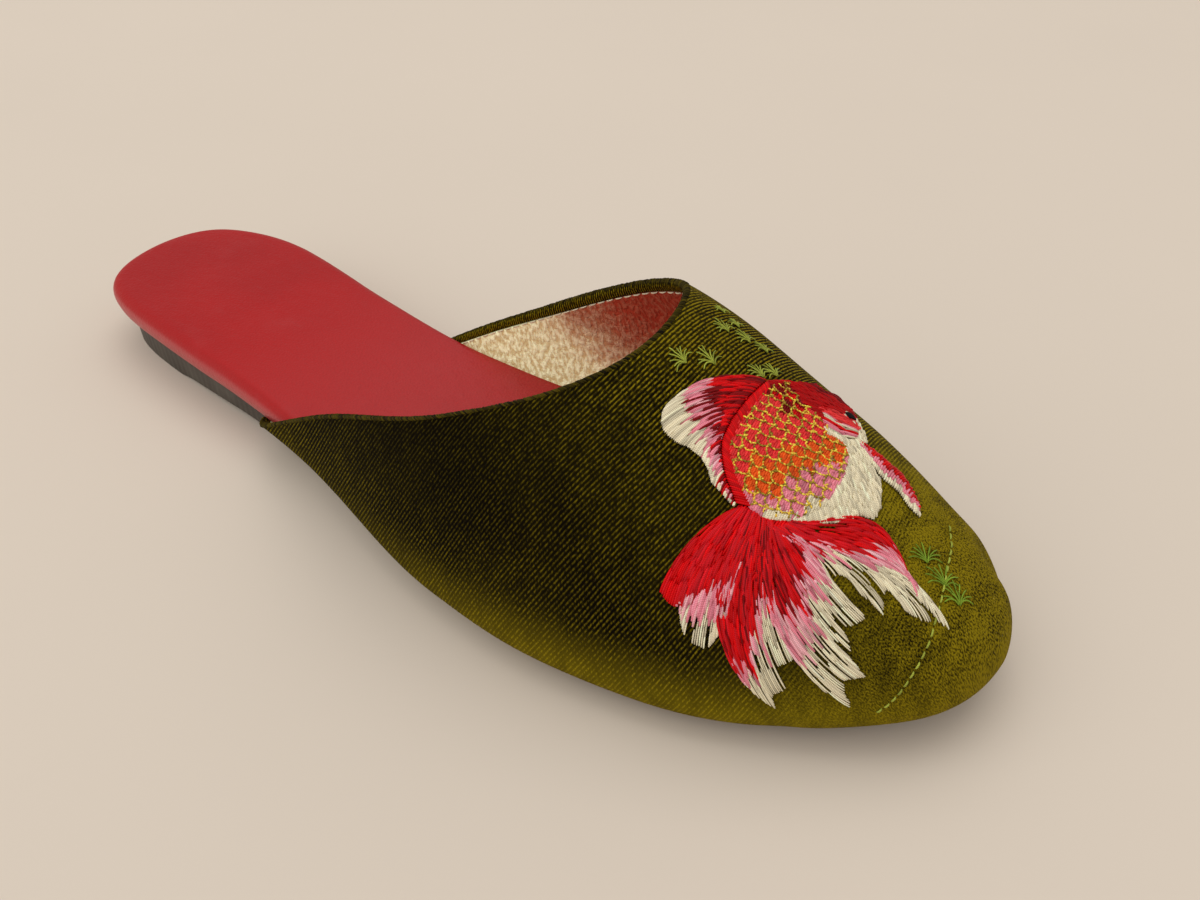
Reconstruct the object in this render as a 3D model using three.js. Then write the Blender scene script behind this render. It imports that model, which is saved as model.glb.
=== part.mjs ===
// Babouche slipper for the right foot: a flat mule with a velvet upper that is open at the heel,
// a padded leather footbed and a thin rubber outsole with a low heel.
// Millimetres, +Z up, the toe towards +X and the inner side of the foot towards +Y.
import * as THREE from 'three';

// Last: the footbed's length and widths
const bedLength = 245;
const ballWidth = 78.3;
const heelWidth = 51;
const toeSwing = 1.4;

// Outsole
const soleThickness = 2.2;
const heelRise = 5.8;
const shankLift = 2;
const toeSpring = 4.5;
const soleInset = 3.3;
const treadChamfer = 0.6;

// Footbed
const bedThickness = 9.8;
const edgeRoundness = 3.6;
const rollStart = 0.66;
const baseUndercut = 0.6;

// Upper
const vampRise = 58.8;
const wall = 1.8;
const tuck = 3.8;
const tuckHeight = 8;
const tuckPower = 3;

// Clearances between pieces that touch in the real shoe
const seatGap = 0.3;
const sideGap = 0.7;

// Fineness of the meshes
const outlineSteps = 44;
const rollSteps = 5;
const vampRows = 27;
const vampColumns = 40;

// Outline of the footbed: at is a share of bedLength, the sides are shares of the width there
const outline = [
  { at: 0.00, inner: 0.000, outer: 0.000 },
  { at: 0.02, inner: 0.300, outer: 0.325 },
  { at: 0.06, inner: 0.425, outer: 0.449 },
  { at: 0.12, inner: 0.487, outer: 0.505 },
  { at: 0.20, inner: 0.467, outer: 0.537 },
  { at: 0.30, inner: 0.399, outer: 0.549 },
  { at: 0.40, inner: 0.321, outer: 0.514 },
  { at: 0.50, inner: 0.313, outer: 0.510 },
  { at: 0.60, inner: 0.375, outer: 0.535 },
  { at: 0.68, inner: 0.446, outer: 0.552 },
  { at: 0.76, inner: 0.467, outer: 0.527 },
  { at: 0.84, inner: 0.429, outer: 0.466 },
  { at: 0.90, inner: 0.366, outer: 0.379 },
  { at: 0.95, inner: 0.278, outer: 0.281 },
  { at: 0.98, inner: 0.188, outer: 0.195 },
  { at: 1.00, inner: 0.000, outer: 0.000 },
];
const waist = { from: 0.25, to: 0.60 };

// Side view of the sole: shares of heelRise, shankLift, toeSpring, soleInset and bedThickness
const profile = [
  { at: 0.000, heel: 1.00, shank: 0.00, spring: 0.00, inset: 1.00, pad: 1.00 },
  { at: 0.145, heel: 0.97, shank: 0.00, spring: 0.00, inset: 1.05, pad: 1.00 },
  { at: 0.165, heel: 0.94, shank: 0.40, spring: 0.00, inset: 1.05, pad: 1.00 },
  { at: 0.300, heel: 0.70, shank: 1.00, spring: 0.00, inset: 0.90, pad: 0.97 },
  { at: 0.450, heel: 0.46, shank: 1.00, spring: 0.00, inset: 0.90, pad: 0.77 },
  { at: 0.600, heel: 0.00, shank: 0.00, spring: 0.00, inset: 0.95, pad: 0.60 },
  { at: 0.800, heel: 0.00, shank: 0.00, spring: 0.00, inset: 1.00, pad: 0.60 },
  { at: 0.900, heel: 0.00, shank: 0.00, spring: 0.28, inset: 1.00, pad: 0.57 },
  { at: 1.000, heel: 0.00, shank: 0.00, spring: 1.00, inset: 1.00, pad: 0.50 },
];

// Sections of the upper: high is the ridge's height over the sole as a share of vampRise, full is the
// section's fullness, where 2 is an ellipse, and lean moves the ridge by a share of the half width
const sections = [
  { at: 0.280, high: 1.280, full: 2.00, lean: 0.000 },
  { at: 0.450, high: 1.230, full: 2.00, lean: 0.000 },
  { at: 0.600, high: 1.123, full: 2.01, lean: 0.008 },
  { at: 0.700, high: 1.002, full: 2.02, lean: 0.010 },
  { at: 0.780, high: 0.826, full: 2.04, lean: -0.005 },
  { at: 0.860, high: 0.662, full: 2.05, lean: -0.020 },
  { at: 0.920, high: 0.486, full: 2.13, lean: -0.024 },
  { at: 0.960, high: 0.371, full: 2.20, lean: -0.024 },
  { at: 0.985, high: 0.261, full: 2.25, lean: -0.022 },
  { at: 1.000, high: 0.082, full: 2.28, lean: -0.022 },
];

// Topline: turn is the angle round the section from the inner side, back a share of bedLength
const topline = [
  { turn: 0, back: 0.360 },
  { turn: 5, back: 0.393 },
  { turn: 18, back: 0.482 },
  { turn: 35, back: 0.576 },
  { turn: 54, back: 0.659 },
  { turn: 73, back: 0.699 },
  { turn: 90, back: 0.713 },
  { turn: 110, back: 0.703 },
  { turn: 127, back: 0.659 },
  { turn: 139, back: 0.600 },
  { turn: 156, back: 0.488 },
  { turn: 169, back: 0.396 },
  { turn: 177, back: 0.335 },
  { turn: 180, back: 0.310 },
];

const finishes = {
  outsole: new THREE.MeshStandardMaterial({ color: 0x1c1b1c, roughness: 0.75, metalness: 0 }),
  footbed: new THREE.MeshStandardMaterial({ color: 0x9c1f26, roughness: 0.5, metalness: 0 }),
  upper: new THREE.MeshStandardMaterial({ color: 0x4a4412, roughness: 0.9, metalness: 0 }),
};

// Curve helpers

// Index of the span of xs that holds x
function spanOf(xs, x) {
  let span = 0;
  while (span < xs.length - 2 && x > xs[span + 1]) span += 1;
  return span;
}

// Smooth curve through points, straight at both ends: a natural cubic spline
function smoothCurve(xs, ys) {
  const bend = xs.map(() => 0);
  const ratio = xs.map(() => 0);
  for (let i = 1; i < xs.length - 1; i += 1) {
    const before = xs[i] - xs[i - 1];
    const after = xs[i + 1] - xs[i];
    const turn = (ys[i + 1] - ys[i]) / after - (ys[i] - ys[i - 1]) / before;
    const pivot = 2 * (before + after) - before * ratio[i - 1];
    ratio[i] = after / pivot;
    bend[i] = (6 * turn - before * bend[i - 1]) / pivot;
  }
  for (let i = xs.length - 2; i > 0; i -= 1) bend[i] -= ratio[i] * bend[i + 1];
  return (x) => {
    const i = spanOf(xs, x);
    const width = xs[i + 1] - xs[i];
    const a = (xs[i + 1] - x) / width;
    const b = 1 - a;
    const curl = ((a ** 3 - a) * bend[i] + (b ** 3 - b) * bend[i + 1]) * width * width / 6;
    return a * ys[i] + b * ys[i + 1] + curl;
  };
}

// Curve that never overshoots its points: cubic spans whose slopes are harmonic means
function steadyCurve(xs, ys) {
  const rise = xs.slice(1).map((x, i) => (ys[i + 1] - ys[i]) / (x - xs[i]));
  const slope = xs.map((x, i) => {
    if (i === 0 || i === xs.length - 1) return 0;
    const both = rise[i - 1] * rise[i];
    return both > 0 ? 2 * both / (rise[i - 1] + rise[i]) : 0;
  });
  return (x) => {
    const i = spanOf(xs, x);
    const width = xs[i + 1] - xs[i];
    const u = THREE.MathUtils.clamp((x - xs[i]) / width, 0, 1);
    const start = (1 + 2 * u) * (1 - u) ** 2 * ys[i] + u * (1 - u) ** 2 * width * slope[i];
    const end = u * u * (3 - 2 * u) * ys[i + 1] - u * u * (1 - u) * width * slope[i + 1];
    return start + end;
  };
}

// The station is an angle from 0 at the heel to PI at the toe, so that both ends come out round
const stationAt = (share) => Math.acos(1 - 2 * share);
const shareAt = (station) => (1 - Math.cos(station)) / 2;
const column = (rows, name) => rows.map((row) => row[name]);

const outlineStations = column(outline, 'at').map(stationAt);
const innerShare = smoothCurve(outlineStations, column(outline, 'inner'));
const outerShare = smoothCurve(outlineStations, column(outline, 'outer'));

const profileCurve = (name) => steadyCurve(column(profile, 'at'), column(profile, name));
const heelCurve = profileCurve('heel');
const shankCurve = profileCurve('shank');
const springCurve = profileCurve('spring');
const insetCurve = profileCurve('inset');
const padCurve = profileCurve('pad');

const sectionStations = column(sections, 'at').map(stationAt);
const highCurve = smoothCurve(sectionStations, column(sections, 'high'));
const fullCurve = smoothCurve(sectionStations, column(sections, 'full'));
const leanCurve = smoothCurve(sectionStations, column(sections, 'lean'));
const toplineCurve = smoothCurve(column(topline, 'turn'), column(topline, 'back'));

// The last

// Distance of the outline from the middle line, with side 1 for inner and -1 for outer
function halfWidth(station, side) {
  const share = shareAt(station);
  const blend = THREE.MathUtils.smoothstep(share, waist.from, waist.to);
  const width = THREE.MathUtils.lerp(heelWidth, ballWidth, blend);
  const swing = side * toeSwing * Math.max(0, 2 * share - 1) ** 2;
  return width * (side > 0 ? innerShare(station) : outerShare(station)) + swing;
}

// Point of the outline, pushed outwards by grow, with its outward direction
function outlinePoint(station, side, grow) {
  const step = 1e-3;
  const from = Math.max(0, station - step);
  const to = Math.min(Math.PI, station + step);
  const along = bedLength * (shareAt(to) - shareAt(from));
  const across = halfWidth(to, side) - halfWidth(from, side);
  const size = Math.hypot(along, across);
  const atEnd = from === 0 || to === Math.PI;
  const outX = atEnd ? Math.sign(station - 1) : -across / size;
  const outY = atEnd ? 0 : side * along / size;
  const x = bedLength * shareAt(station) + outX * grow;
  const y = side * halfWidth(station, side) + outY * grow;
  return { x, y, outX, outY };
}

const clampShare = (x) => THREE.MathUtils.clamp(x / bedLength, 0, 1);
const soleBottom = (x) => shankLift * shankCurve(clampShare(x)) + toeSpring * springCurve(clampShare(x));

function soleTop(x) {
  const share = clampShare(x);
  return soleThickness + heelRise * heelCurve(share) + toeSpring * springCurve(share);
}

// How far the sides are drawn in at a height over the sole
function tuckAt(height) {
  return tuck * (1 - THREE.MathUtils.clamp(height / tuckHeight, 0, 1)) ** tuckPower;
}

// The same for the inner face of a wall that keeps its thickness over the slope
function innerTuckAt(height) {
  const left = 1 - THREE.MathUtils.clamp(height / tuckHeight, 0, 1);
  const slope = tuck * tuckPower / tuckHeight * left ** (tuckPower - 1);
  return tuckAt(height) + wall * (Math.hypot(1, slope) - 1);
}

// Ring bodies: outsole and footbed

// One closed ring from the heel along the inner side to the toe and back along the outer side
function ring(place) {
  const points = [];
  for (let i = 0; i < 2 * outlineSteps; i += 1) {
    const inner = i <= outlineSteps;
    const step = inner ? i : 2 * outlineSteps - i;
    points.push(place(Math.PI * step / outlineSteps, inner ? 1 : -1));
  }
  return points;
}

// Rings stacked from the bottom up, closed at both ends by rungs between facing points
function ringBody(rings) {
  const count = 2 * outlineSteps;
  const facing = (i) => (count - i) % count;
  const triangles = [];
  const triangle = (a, b, c) => {
    if (a !== b && b !== c && a !== c) triangles.push(a, b, c);
  };
  for (let i = 0; i < outlineSteps; i += 1) {
    const top = count * (rings.length - 1);
    triangle(i, i + 1, facing(i + 1));
    triangle(i, facing(i + 1), facing(i));
    triangle(top + i, top + facing(i + 1), top + i + 1);
    triangle(top + i, top + facing(i), top + facing(i + 1));
  }
  for (let layer = 0; layer < rings.length - 1; layer += 1) {
    for (let i = 0; i < count; i += 1) {
      const low = count * layer + i;
      const next = count * layer + (i + 1) % count;
      triangle(low, low + count, next + count);
      triangle(low, next + count, next);
    }
  }
  return { points: rings.flat(), triangles };
}

// Outsole: flat treads under heel and ball, a lifted shank and a toe that curls up
function outsoleBody() {
  const layer = (chamfer, heightOf) => ring((station, side) => {
    const inset = soleInset * insetCurve(shareAt(station)) + chamfer;
    const { x, y } = outlinePoint(station, side, -inset);
    return [x, y, heightOf(x)];
  });
  return ringBody([
    layer(treadChamfer, soleBottom),
    layer(0, (x) => soleBottom(x) + treadChamfer),
    layer(0, soleTop),
  ]);
}

// Footbed: sides drawn in at the sole and rolled over at the top edge
function footbedBody() {
  const thickness = (x) => bedThickness * padCurve(clampShare(x));
  const layer = (share, drawnIn) => ring((station, side) => {
    const guess = bedLength * shareAt(station);
    const inset = innerTuckAt(share * thickness(guess)) + drawnIn;
    const { x, y } = outlinePoint(station, side, -inset);
    return [x, y, soleTop(x) + seatGap + share * thickness(x)];
  });
  const rings = [layer(0, baseUndercut), layer(rollStart * 0.2, 0), layer(rollStart * 0.5, 0)];
  for (let i = 0; i <= rollSteps; i += 1) {
    const angle = Math.PI / 2 * i / rollSteps;
    const share = rollStart + (1 - rollStart) * Math.sin(angle);
    rings.push(layer(share, edgeRoundness * (1 - Math.cos(angle))));
  }
  return ringBody(rings);
}

// Upper

// Point of the outer face: station runs to the toe, turn from the inner foot edge over to the outer
function upperPoint(station, turn) {
  const grow = wall + sideGap;
  const inner = outlinePoint(station, 1, grow);
  const outer = outlinePoint(station, -1, grow);
  const power = 2 / fullCurve(station);
  const across = Math.sign(Math.cos(turn)) * Math.abs(Math.cos(turn)) ** power;
  const up = Math.abs(Math.sin(turn)) ** power;
  const halfY = (inner.y - outer.y) / 2;
  const x = (inner.x + outer.x) / 2 + (inner.x - outer.x) / 2 * across;
  const y = (inner.y + outer.y) / 2 + halfY * (across + leanCurve(station) * up ** 1.5);
  const height = vampRise * highCurve(station) * up;
  const outX = THREE.MathUtils.lerp(outer.outX, inner.outX, (1 + across) / 2);
  const outY = THREE.MathUtils.lerp(outer.outY, inner.outY, (1 + across) / 2);
  const drawn = tuckAt(height);
  const z = soleTop(x) + seatGap + height;
  return new THREE.Vector3(x - outX * drawn, y - outY * drawn, z);
}

// Outward direction of the outer face, level along the two foot edges and at the tip of the toe
function upperNormal(station, turn) {
  const step = 2e-3;
  if (station > Math.PI - step) return new THREE.Vector3(1, 0, 0);
  const along = upperPoint(station + step, turn).sub(upperPoint(station - step, turn));
  const low = Math.max(0, turn - step);
  const high = Math.min(Math.PI, turn + step);
  const round = upperPoint(station, high).sub(upperPoint(station, low));
  const normal = round.cross(along);
  if (low === 0 || high === Math.PI) normal.z = 0;
  return normal.normalize();
}

// Grid of the outer and inner faces from the topline to the toe, joined along every free edge
function upperBody() {
  const points = [];
  for (let row = 0; row <= vampRows; row += 1) {
    for (let col = 0; col <= vampColumns; col += 1) {
      const even = Math.PI * col / vampColumns;
      const turn = (even + Math.PI / 2 * (1 - Math.cos(even))) / 2;
      const start = stationAt(toplineCurve(THREE.MathUtils.radToDeg(turn)));
      const station = THREE.MathUtils.lerp(start, Math.PI, row / vampRows);
      const outside = upperPoint(station, turn);
      const inside = outside.clone().addScaledVector(upperNormal(station, turn), -wall);
      points.push(outside.toArray(), inside.toArray());
    }
  }
  // Both halves of the last row meet in one seam at the tip of the toe
  const index = (row, col, inside) => {
    const folded = row === vampRows ? Math.min(col, vampColumns - col) : col;
    return 2 * (row * (vampColumns + 1) + folded) + inside;
  };
  const triangles = [];
  const quad = (a, b, c, d) => {
    if (a !== b) triangles.push(a, b, c);
    if (c !== d) triangles.push(a, c, d);
  };
  for (let row = 0; row < vampRows; row += 1) {
    for (let col = 0; col < vampColumns; col += 1) {
      quad(index(row + 1, col, 0), index(row, col, 0), index(row, col + 1, 0), index(row + 1, col + 1, 0));
      quad(index(row + 1, col + 1, 1), index(row, col + 1, 1), index(row, col, 1), index(row + 1, col, 1));
    }
    quad(index(row, 0, 0), index(row + 1, 0, 0), index(row + 1, 0, 1), index(row, 0, 1));
    const far = vampColumns;
    quad(index(row, far, 1), index(row + 1, far, 1), index(row + 1, far, 0), index(row, far, 0));
  }
  for (let col = 0; col < vampColumns; col += 1) {
    quad(index(0, col, 0), index(0, col, 1), index(0, col + 1, 1), index(0, col + 1, 0));
  }
  return { points, triangles };
}

// A named mesh from a body's points and triangles, without the points that no triangle uses
function meshOf(name, body) {
  const places = new Map();
  const positions = [];
  const indices = body.triangles.map((point) => {
    if (!places.has(point)) {
      places.set(point, places.size);
      positions.push(...body.points[point]);
    }
    return places.get(point);
  });
  const geometry = new THREE.BufferGeometry();
  geometry.setAttribute('position', new THREE.Float32BufferAttribute(positions, 3));
  geometry.setIndex(indices);
  geometry.computeVertexNormals();
  const mesh = new THREE.Mesh(geometry, finishes[name]);
  mesh.name = name;
  return mesh;
}

const slipper = new THREE.Group();
slipper.add(meshOf('outsole', outsoleBody()));
slipper.add(meshOf('footbed', footbedBody()));
slipper.add(meshOf('upper', upperBody()));

// The origin is the middle of the box on the floor
const box = new THREE.Box3().setFromObject(slipper);
const middle = box.getCenter(new THREE.Vector3());
slipper.position.set(-middle.x, -middle.y, -box.min.z);
slipper.updateMatrixWorld(true);

export default slipper;
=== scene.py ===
"""Babouche slipper: an embroidered velvet upper, a gold lining, a red leather bed and a rubber outsole."""
import math

import bmesh
import bpy
import numpy as np
from bpy.props import FloatProperty, FloatVectorProperty, IntProperty, PointerProperty
from mathutils import Matrix


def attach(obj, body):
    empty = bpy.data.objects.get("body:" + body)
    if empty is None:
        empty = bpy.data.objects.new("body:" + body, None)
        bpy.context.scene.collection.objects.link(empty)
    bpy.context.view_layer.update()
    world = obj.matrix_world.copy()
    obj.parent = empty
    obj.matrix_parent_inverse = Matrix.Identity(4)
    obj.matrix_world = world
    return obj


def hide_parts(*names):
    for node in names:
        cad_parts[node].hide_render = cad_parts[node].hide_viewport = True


bl_info = {
    "name": "Babouche Slipper",
    "version": (1, 0, 0),
    "blender": (4, 5, 0),
    "location": "View3D > Sidebar > Slipper",
    "description": "Builds the visible pieces of an embroidered velvet slipper on its CAD frame",
    "category": "Object",
}

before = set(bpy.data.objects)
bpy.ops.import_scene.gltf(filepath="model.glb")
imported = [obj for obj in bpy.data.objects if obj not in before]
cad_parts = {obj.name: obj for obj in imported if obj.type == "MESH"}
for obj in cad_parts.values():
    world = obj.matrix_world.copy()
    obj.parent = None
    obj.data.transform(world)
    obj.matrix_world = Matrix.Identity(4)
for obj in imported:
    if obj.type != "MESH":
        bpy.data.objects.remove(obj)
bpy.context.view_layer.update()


# The last, in mm from the back of the heel, toe along +X and the inner side of the foot along +Y

SHIFT = np.array([-123.696, 3.047, 0.0])
BED_LENGTH = 245.0
BALL_WIDTH = 78.3
HEEL_WIDTH = 51.0
TOE_SWING = 1.4
SOLE_THICKNESS = 2.2
HEEL_RISE = 5.8
SHANK_LIFT = 2.0
TOE_SPRING = 4.5
SOLE_INSET = 3.3
BED_THICKNESS = 9.8
EDGE_ROUNDNESS = 3.6
ROLL_START = 0.66
VAMP_RISE = 58.8
WALL = 1.8
TUCK = 3.8
TUCK_HEIGHT = 8.0
TUCK_POWER = 3
SEAT_GAP = 0.3
SIDE_GAP = 0.7

# Outline of the bed: share of its length, half width on the inner and the outer side
OUTLINE = np.array([
    [0, 0, 0], [.02, .300, .325], [.06, .425, .449], [.12, .487, .505], [.2, .467, .537], [.3, .399, .549],
    [.4, .321, .514], [.5, .313, .510], [.6, .375, .535], [.68, .446, .552], [.76, .467, .527],
    [.84, .429, .466], [.9, .366, .379], [.95, .278, .281], [.98, .188, .195], [1, 0, 0],
])
# Side view: share of the length, heel, shank, toe spring, outsole inset and pad thickness
PROFILE = np.array([
    [0, 1, 0, 0, 1, 1], [.145, .97, 0, 0, 1.05, 1], [.165, .94, .4, 0, 1.05, 1], [.3, .7, 1, 0, .9, .97],
    [.45, .46, 1, 0, .9, .77], [.6, 0, 0, 0, .95, .6], [.8, 0, 0, 0, 1, .6], [.9, 0, 0, .28, 1, .57],
    [1, 0, 0, 1, 1, .5],
])
# Sections of the upper: share of the length, height, fullness and lean
SECTIONS = np.array([
    [.28, 1.28, 2, 0], [.45, 1.23, 2, 0], [.6, 1.123, 2.01, .008], [.7, 1.002, 2.02, .01],
    [.78, .826, 2.04, -.005], [.86, .662, 2.05, -.02], [.92, .486, 2.13, -.024], [.96, .371, 2.2, -.024],
    [.985, .261, 2.25, -.022], [1, .082, 2.28, -.022],
])
# Topline: turn round the section in degrees and share of the length
TOPLINE = np.array([
    [0, .36], [5, .393], [18, .482], [35, .576], [54, .659], [73, .699], [90, .713], [110, .703], [127, .659],
    [139, .6], [156, .488], [169, .396], [177, .335], [180, .31],
])


def smooth_curve(x, y):
    """Natural cubic spline through the rows."""
    count, gap = len(x), np.diff(x)
    system, target = np.zeros((count, count)), np.zeros(count)
    system[0, 0] = system[-1, -1] = 1
    for i in range(1, count - 1):
        system[i, i - 1:i + 2] = gap[i - 1], 2 * (gap[i - 1] + gap[i]), gap[i]
        target[i] = 6 * ((y[i + 1] - y[i]) / gap[i] - (y[i] - y[i - 1]) / gap[i - 1])
    bend = np.linalg.solve(system, target)

    def curve(q):
        i = np.clip(np.searchsorted(x, q) - 1, 0, count - 2)
        a, b = (x[i + 1] - q) / gap[i], (q - x[i]) / gap[i]
        return a * y[i] + b * y[i + 1] + ((a**3 - a) * bend[i] + (b**3 - b) * bend[i + 1]) * gap[i]**2 / 6
    return curve


def steady_curve(x, y):
    """Cubic through the rows that never overshoots: harmonic slopes, flat at the ends."""
    slope = np.diff(y) / np.diff(x)
    product, total = slope[:-1] * slope[1:], slope[:-1] + slope[1:]
    inner = np.where(product > 0, 2 * product / np.where(product > 0, total, 1), 0)
    m = np.concatenate([[0], inner, [0]])

    def curve(q):
        q = np.clip(q, x[0], x[-1])
        i = np.clip(np.searchsorted(x, q) - 1, 0, len(x) - 2)
        w = x[i + 1] - x[i]
        u = (q - x[i]) / w
        return ((1 + 2 * u) * (1 - u)**2 * y[i] + u * (1 - u)**2 * w * m[i]
                + u * u * (3 - 2 * u) * y[i + 1] - u * u * (1 - u) * w * m[i + 1])
    return curve


def station_at(share):
    """Station angle: share = (1 - cos station) / 2."""
    return np.arccos(1 - 2 * np.clip(share, 0, 1))


def share_at(station):
    """Share of the length at a station angle."""
    return (1 - np.cos(station)) / 2


INNER_HALF = smooth_curve(station_at(OUTLINE[:, 0]), OUTLINE[:, 1])
OUTER_HALF = smooth_curve(station_at(OUTLINE[:, 0]), OUTLINE[:, 2])
HEEL, SHANK, SPRING, INSET, PAD = (steady_curve(PROFILE[:, 0], PROFILE[:, k]) for k in range(1, 6))
HIGH, FULL, LEAN = (smooth_curve(station_at(SECTIONS[:, 0]), SECTIONS[:, k]) for k in (1, 2, 3))
TOP = smooth_curve(TOPLINE[:, 0], TOPLINE[:, 1])


def half_width(station, side):
    """Half width: the row's share of a width that grows from heel to ball, plus the swing of the toe."""
    share = share_at(station)
    k = np.clip((share - .25) / .35, 0, 1)
    width = HEEL_WIDTH + (BALL_WIDTH - HEEL_WIDTH) * k * k * (3 - 2 * k)
    half = INNER_HALF(station) if side > 0 else OUTER_HALF(station)
    return width * half + side * TOE_SWING * np.clip(2 * share - 1, 0, 1)**2


def outline_point(station, side, grow):
    """Point of the outline moved outwards by grow, and its outward direction in plan."""
    low, high = np.clip(station - 1e-3, 0, np.pi), np.clip(station + 1e-3, 0, np.pi)
    along = BED_LENGTH * (share_at(high) - share_at(low))
    across = half_width(high, side) - half_width(low, side)
    size = np.hypot(along, across)
    out_x, out_y = -across / size, side * along / size
    end = np.where(station <= 0, -1.0, np.where(station >= np.pi, 1.0, 0.0))
    out_x, out_y = np.where(end != 0, end, out_x), np.where(end != 0, 0.0, out_y)
    x = BED_LENGTH * share_at(station) + out_x * grow
    return x, side * half_width(station, side) + out_y * grow, out_x, out_y


def sole_top(x):
    """Height of the outsole's upper face."""
    share = np.clip(x / BED_LENGTH, 0, 1)
    return SOLE_THICKNESS + HEEL_RISE * HEEL(share) + TOE_SPRING * SPRING(share)


def sole_bottom(x):
    """Height of the outsole's tread."""
    share = np.clip(x / BED_LENGTH, 0, 1)
    return SHANK_LIFT * SHANK(share) + TOE_SPRING * SPRING(share)


def tuck_at(height):
    """How far the upper is drawn in at a height over its seat: full there, none from the tuck height."""
    return TUCK * (1 - np.clip(height / TUCK_HEIGHT, 0, 1))**TUCK_POWER


def inner_tuck_at(height):
    """Inset of the wall's inner face: the tuck plus the wall measured along its slope."""
    slope = TUCK * TUCK_POWER / TUCK_HEIGHT * (1 - np.clip(height / TUCK_HEIGHT, 0, 1))**(TUCK_POWER - 1)
    return tuck_at(height) + WALL * (np.hypot(1, slope) - 1)


def upper_point(station, turn):
    """Outer face of the upper: a superellipse over the outline, with lean, drawn in to its seat."""
    grow = WALL + SIDE_GAP
    xi, yi, nxi, nyi = outline_point(station, 1, grow)
    xo, yo, nxo, nyo = outline_point(station, -1, grow)
    power = 2 / FULL(station)
    across = np.sign(np.cos(turn)) * np.abs(np.cos(turn))**power
    up = np.abs(np.sin(turn))**power
    x = (xi + xo) / 2 + (xi - xo) / 2 * across
    y = (yi + yo) / 2 + (yi - yo) / 2 * (across + LEAN(station) * up**1.5)
    height = VAMP_RISE * HIGH(station) * up
    m = (1 + across) / 2
    drawn = tuck_at(height)
    x = x - (nxo + (nxi - nxo) * m) * drawn
    y = y - (nyo + (nyi - nyo) * m) * drawn
    return np.stack([x, y, sole_top(x) + SEAT_GAP + height], -1)


def upper_normal(station, turn):
    """Outward normal of the upper: across the section times along it."""
    step = 2e-3
    t = np.minimum(station, np.pi - 2 * step)
    low, high = np.maximum(turn - step, 0), np.minimum(turn + step, np.pi)
    along = upper_point(t + step, turn) - upper_point(t - step, turn)
    normal = np.cross(upper_point(t, high) - upper_point(t, low), along)
    seat = (turn < step) | (turn > np.pi - step)
    normal[..., 2] = np.where(seat, 0, normal[..., 2])
    tip = np.broadcast_to(station > np.pi - 2 * step, normal.shape[:-1])
    normal[tip] = (1, 0, 0)
    return normal / np.linalg.norm(normal, axis=-1, keepdims=True)


# The flat chart of the upper: a is mm along the length, b mm of girth from the ridge, plus to the outer side

CHART_A = np.linspace(.30, .9999, 281) * BED_LENGTH
CHART_TURN = np.linspace(0, np.pi, 721)
CHART_B = np.linspace(-80, 80, 641)
RIDGE = len(CHART_TURN) // 2


def running(points):
    """Length run along a line of points, 0 at the first."""
    return np.concatenate([[0], np.cumsum(np.linalg.norm(np.diff(points, axis=0), axis=1))])


def chart_girth():
    """Girth from the ridge on every row of the chart: running sum of the steps between neighbours."""
    points = upper_point(station_at(CHART_A / BED_LENGTH)[:, None], CHART_TURN[None, :])
    steps = np.linalg.norm(np.diff(points, axis=1), axis=2)
    girth = np.concatenate([np.zeros((len(CHART_A), 1)), np.cumsum(steps, 1)], 1)
    return girth - girth[:, RIDGE:RIDGE + 1]


GIRTH = chart_girth()
TURNS = np.array([np.interp(CHART_B, row, CHART_TURN) for row in GIRTH])


def bilinear(table, x, y, rows, columns):
    """Value of a table at x, y, mixed from its four neighbours; rows and columns are its even scales."""
    fx = np.clip((x - rows[0]) / (rows[1] - rows[0]), 0, len(rows) - 1.001)
    fy = np.clip((y - columns[0]) / (columns[1] - columns[0]), 0, len(columns) - 1.001)
    i, j = fx.astype(int), fy.astype(int)
    u, v = fx - i, fy - j
    return ((table[i, j] * (1 - u) + table[i + 1, j] * u) * (1 - v)
            + (table[i, j + 1] * (1 - u) + table[i + 1, j + 1] * u) * v)


def turn_at(a, b):
    """Turn of a chart point."""
    return bilinear(TURNS, a, b, CHART_A, CHART_B)


def girth_at(a, turn):
    """Girth from the ridge at a turn."""
    return bilinear(GIRTH, a, turn, CHART_A, CHART_TURN)


# Dents and swells of the velvet: a, b, reach along a, reach along b, height in mm
RELIEF = np.array([
    [237.5, -15.5, 3.6, 5, -1.7], [231, -24, 6, 4, -.35], [218, -27, 8, 3, -.3], [206, 27, 6, 5, .25],
    [188, 26, 9, 7, -.3], [176, 40, 10, 6, .3], [160, 30, 12, 9, -.25], [146, 47, 9, 5, .35],
    [128, 40, 10, 5, -.3], [196, 47, 9, 4, .3], [216, 48, 7, 4, -.3], [184, -22, 8, 4, .25],
])


def relief(a, b):
    """Height over the last's surface: the sum of soft round swells."""
    a, b = np.asarray(a)[..., None], np.asarray(b)[..., None]
    middle_a, middle_b, reach_a, reach_b, height = RELIEF.T
    return (height * np.exp(-((a - middle_a) / reach_a)**2 - ((b - middle_b) / reach_b)**2)).sum(-1)


def lifted(station, turn, height):
    """Point at a height over the last's surface, and the normal there."""
    normal = upper_normal(station, turn)
    return upper_point(station, turn) + normal * height[..., None], normal


def on_velvet(a, b, height):
    """Point at a height over the velvet at a chart point, and the normal there."""
    return lifted(station_at(a / BED_LENGTH), turn_at(a, b), relief(a, b) + height)


def toward_toe(station, turn, distance):
    """Station a distance nearer the toe, and the direction of that step."""
    step = .02
    ahead = upper_point(station + step, turn) - upper_point(station, turn)
    size = np.linalg.norm(ahead, axis=-1)
    return station + step * distance / size, ahead / size[..., None]


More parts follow.
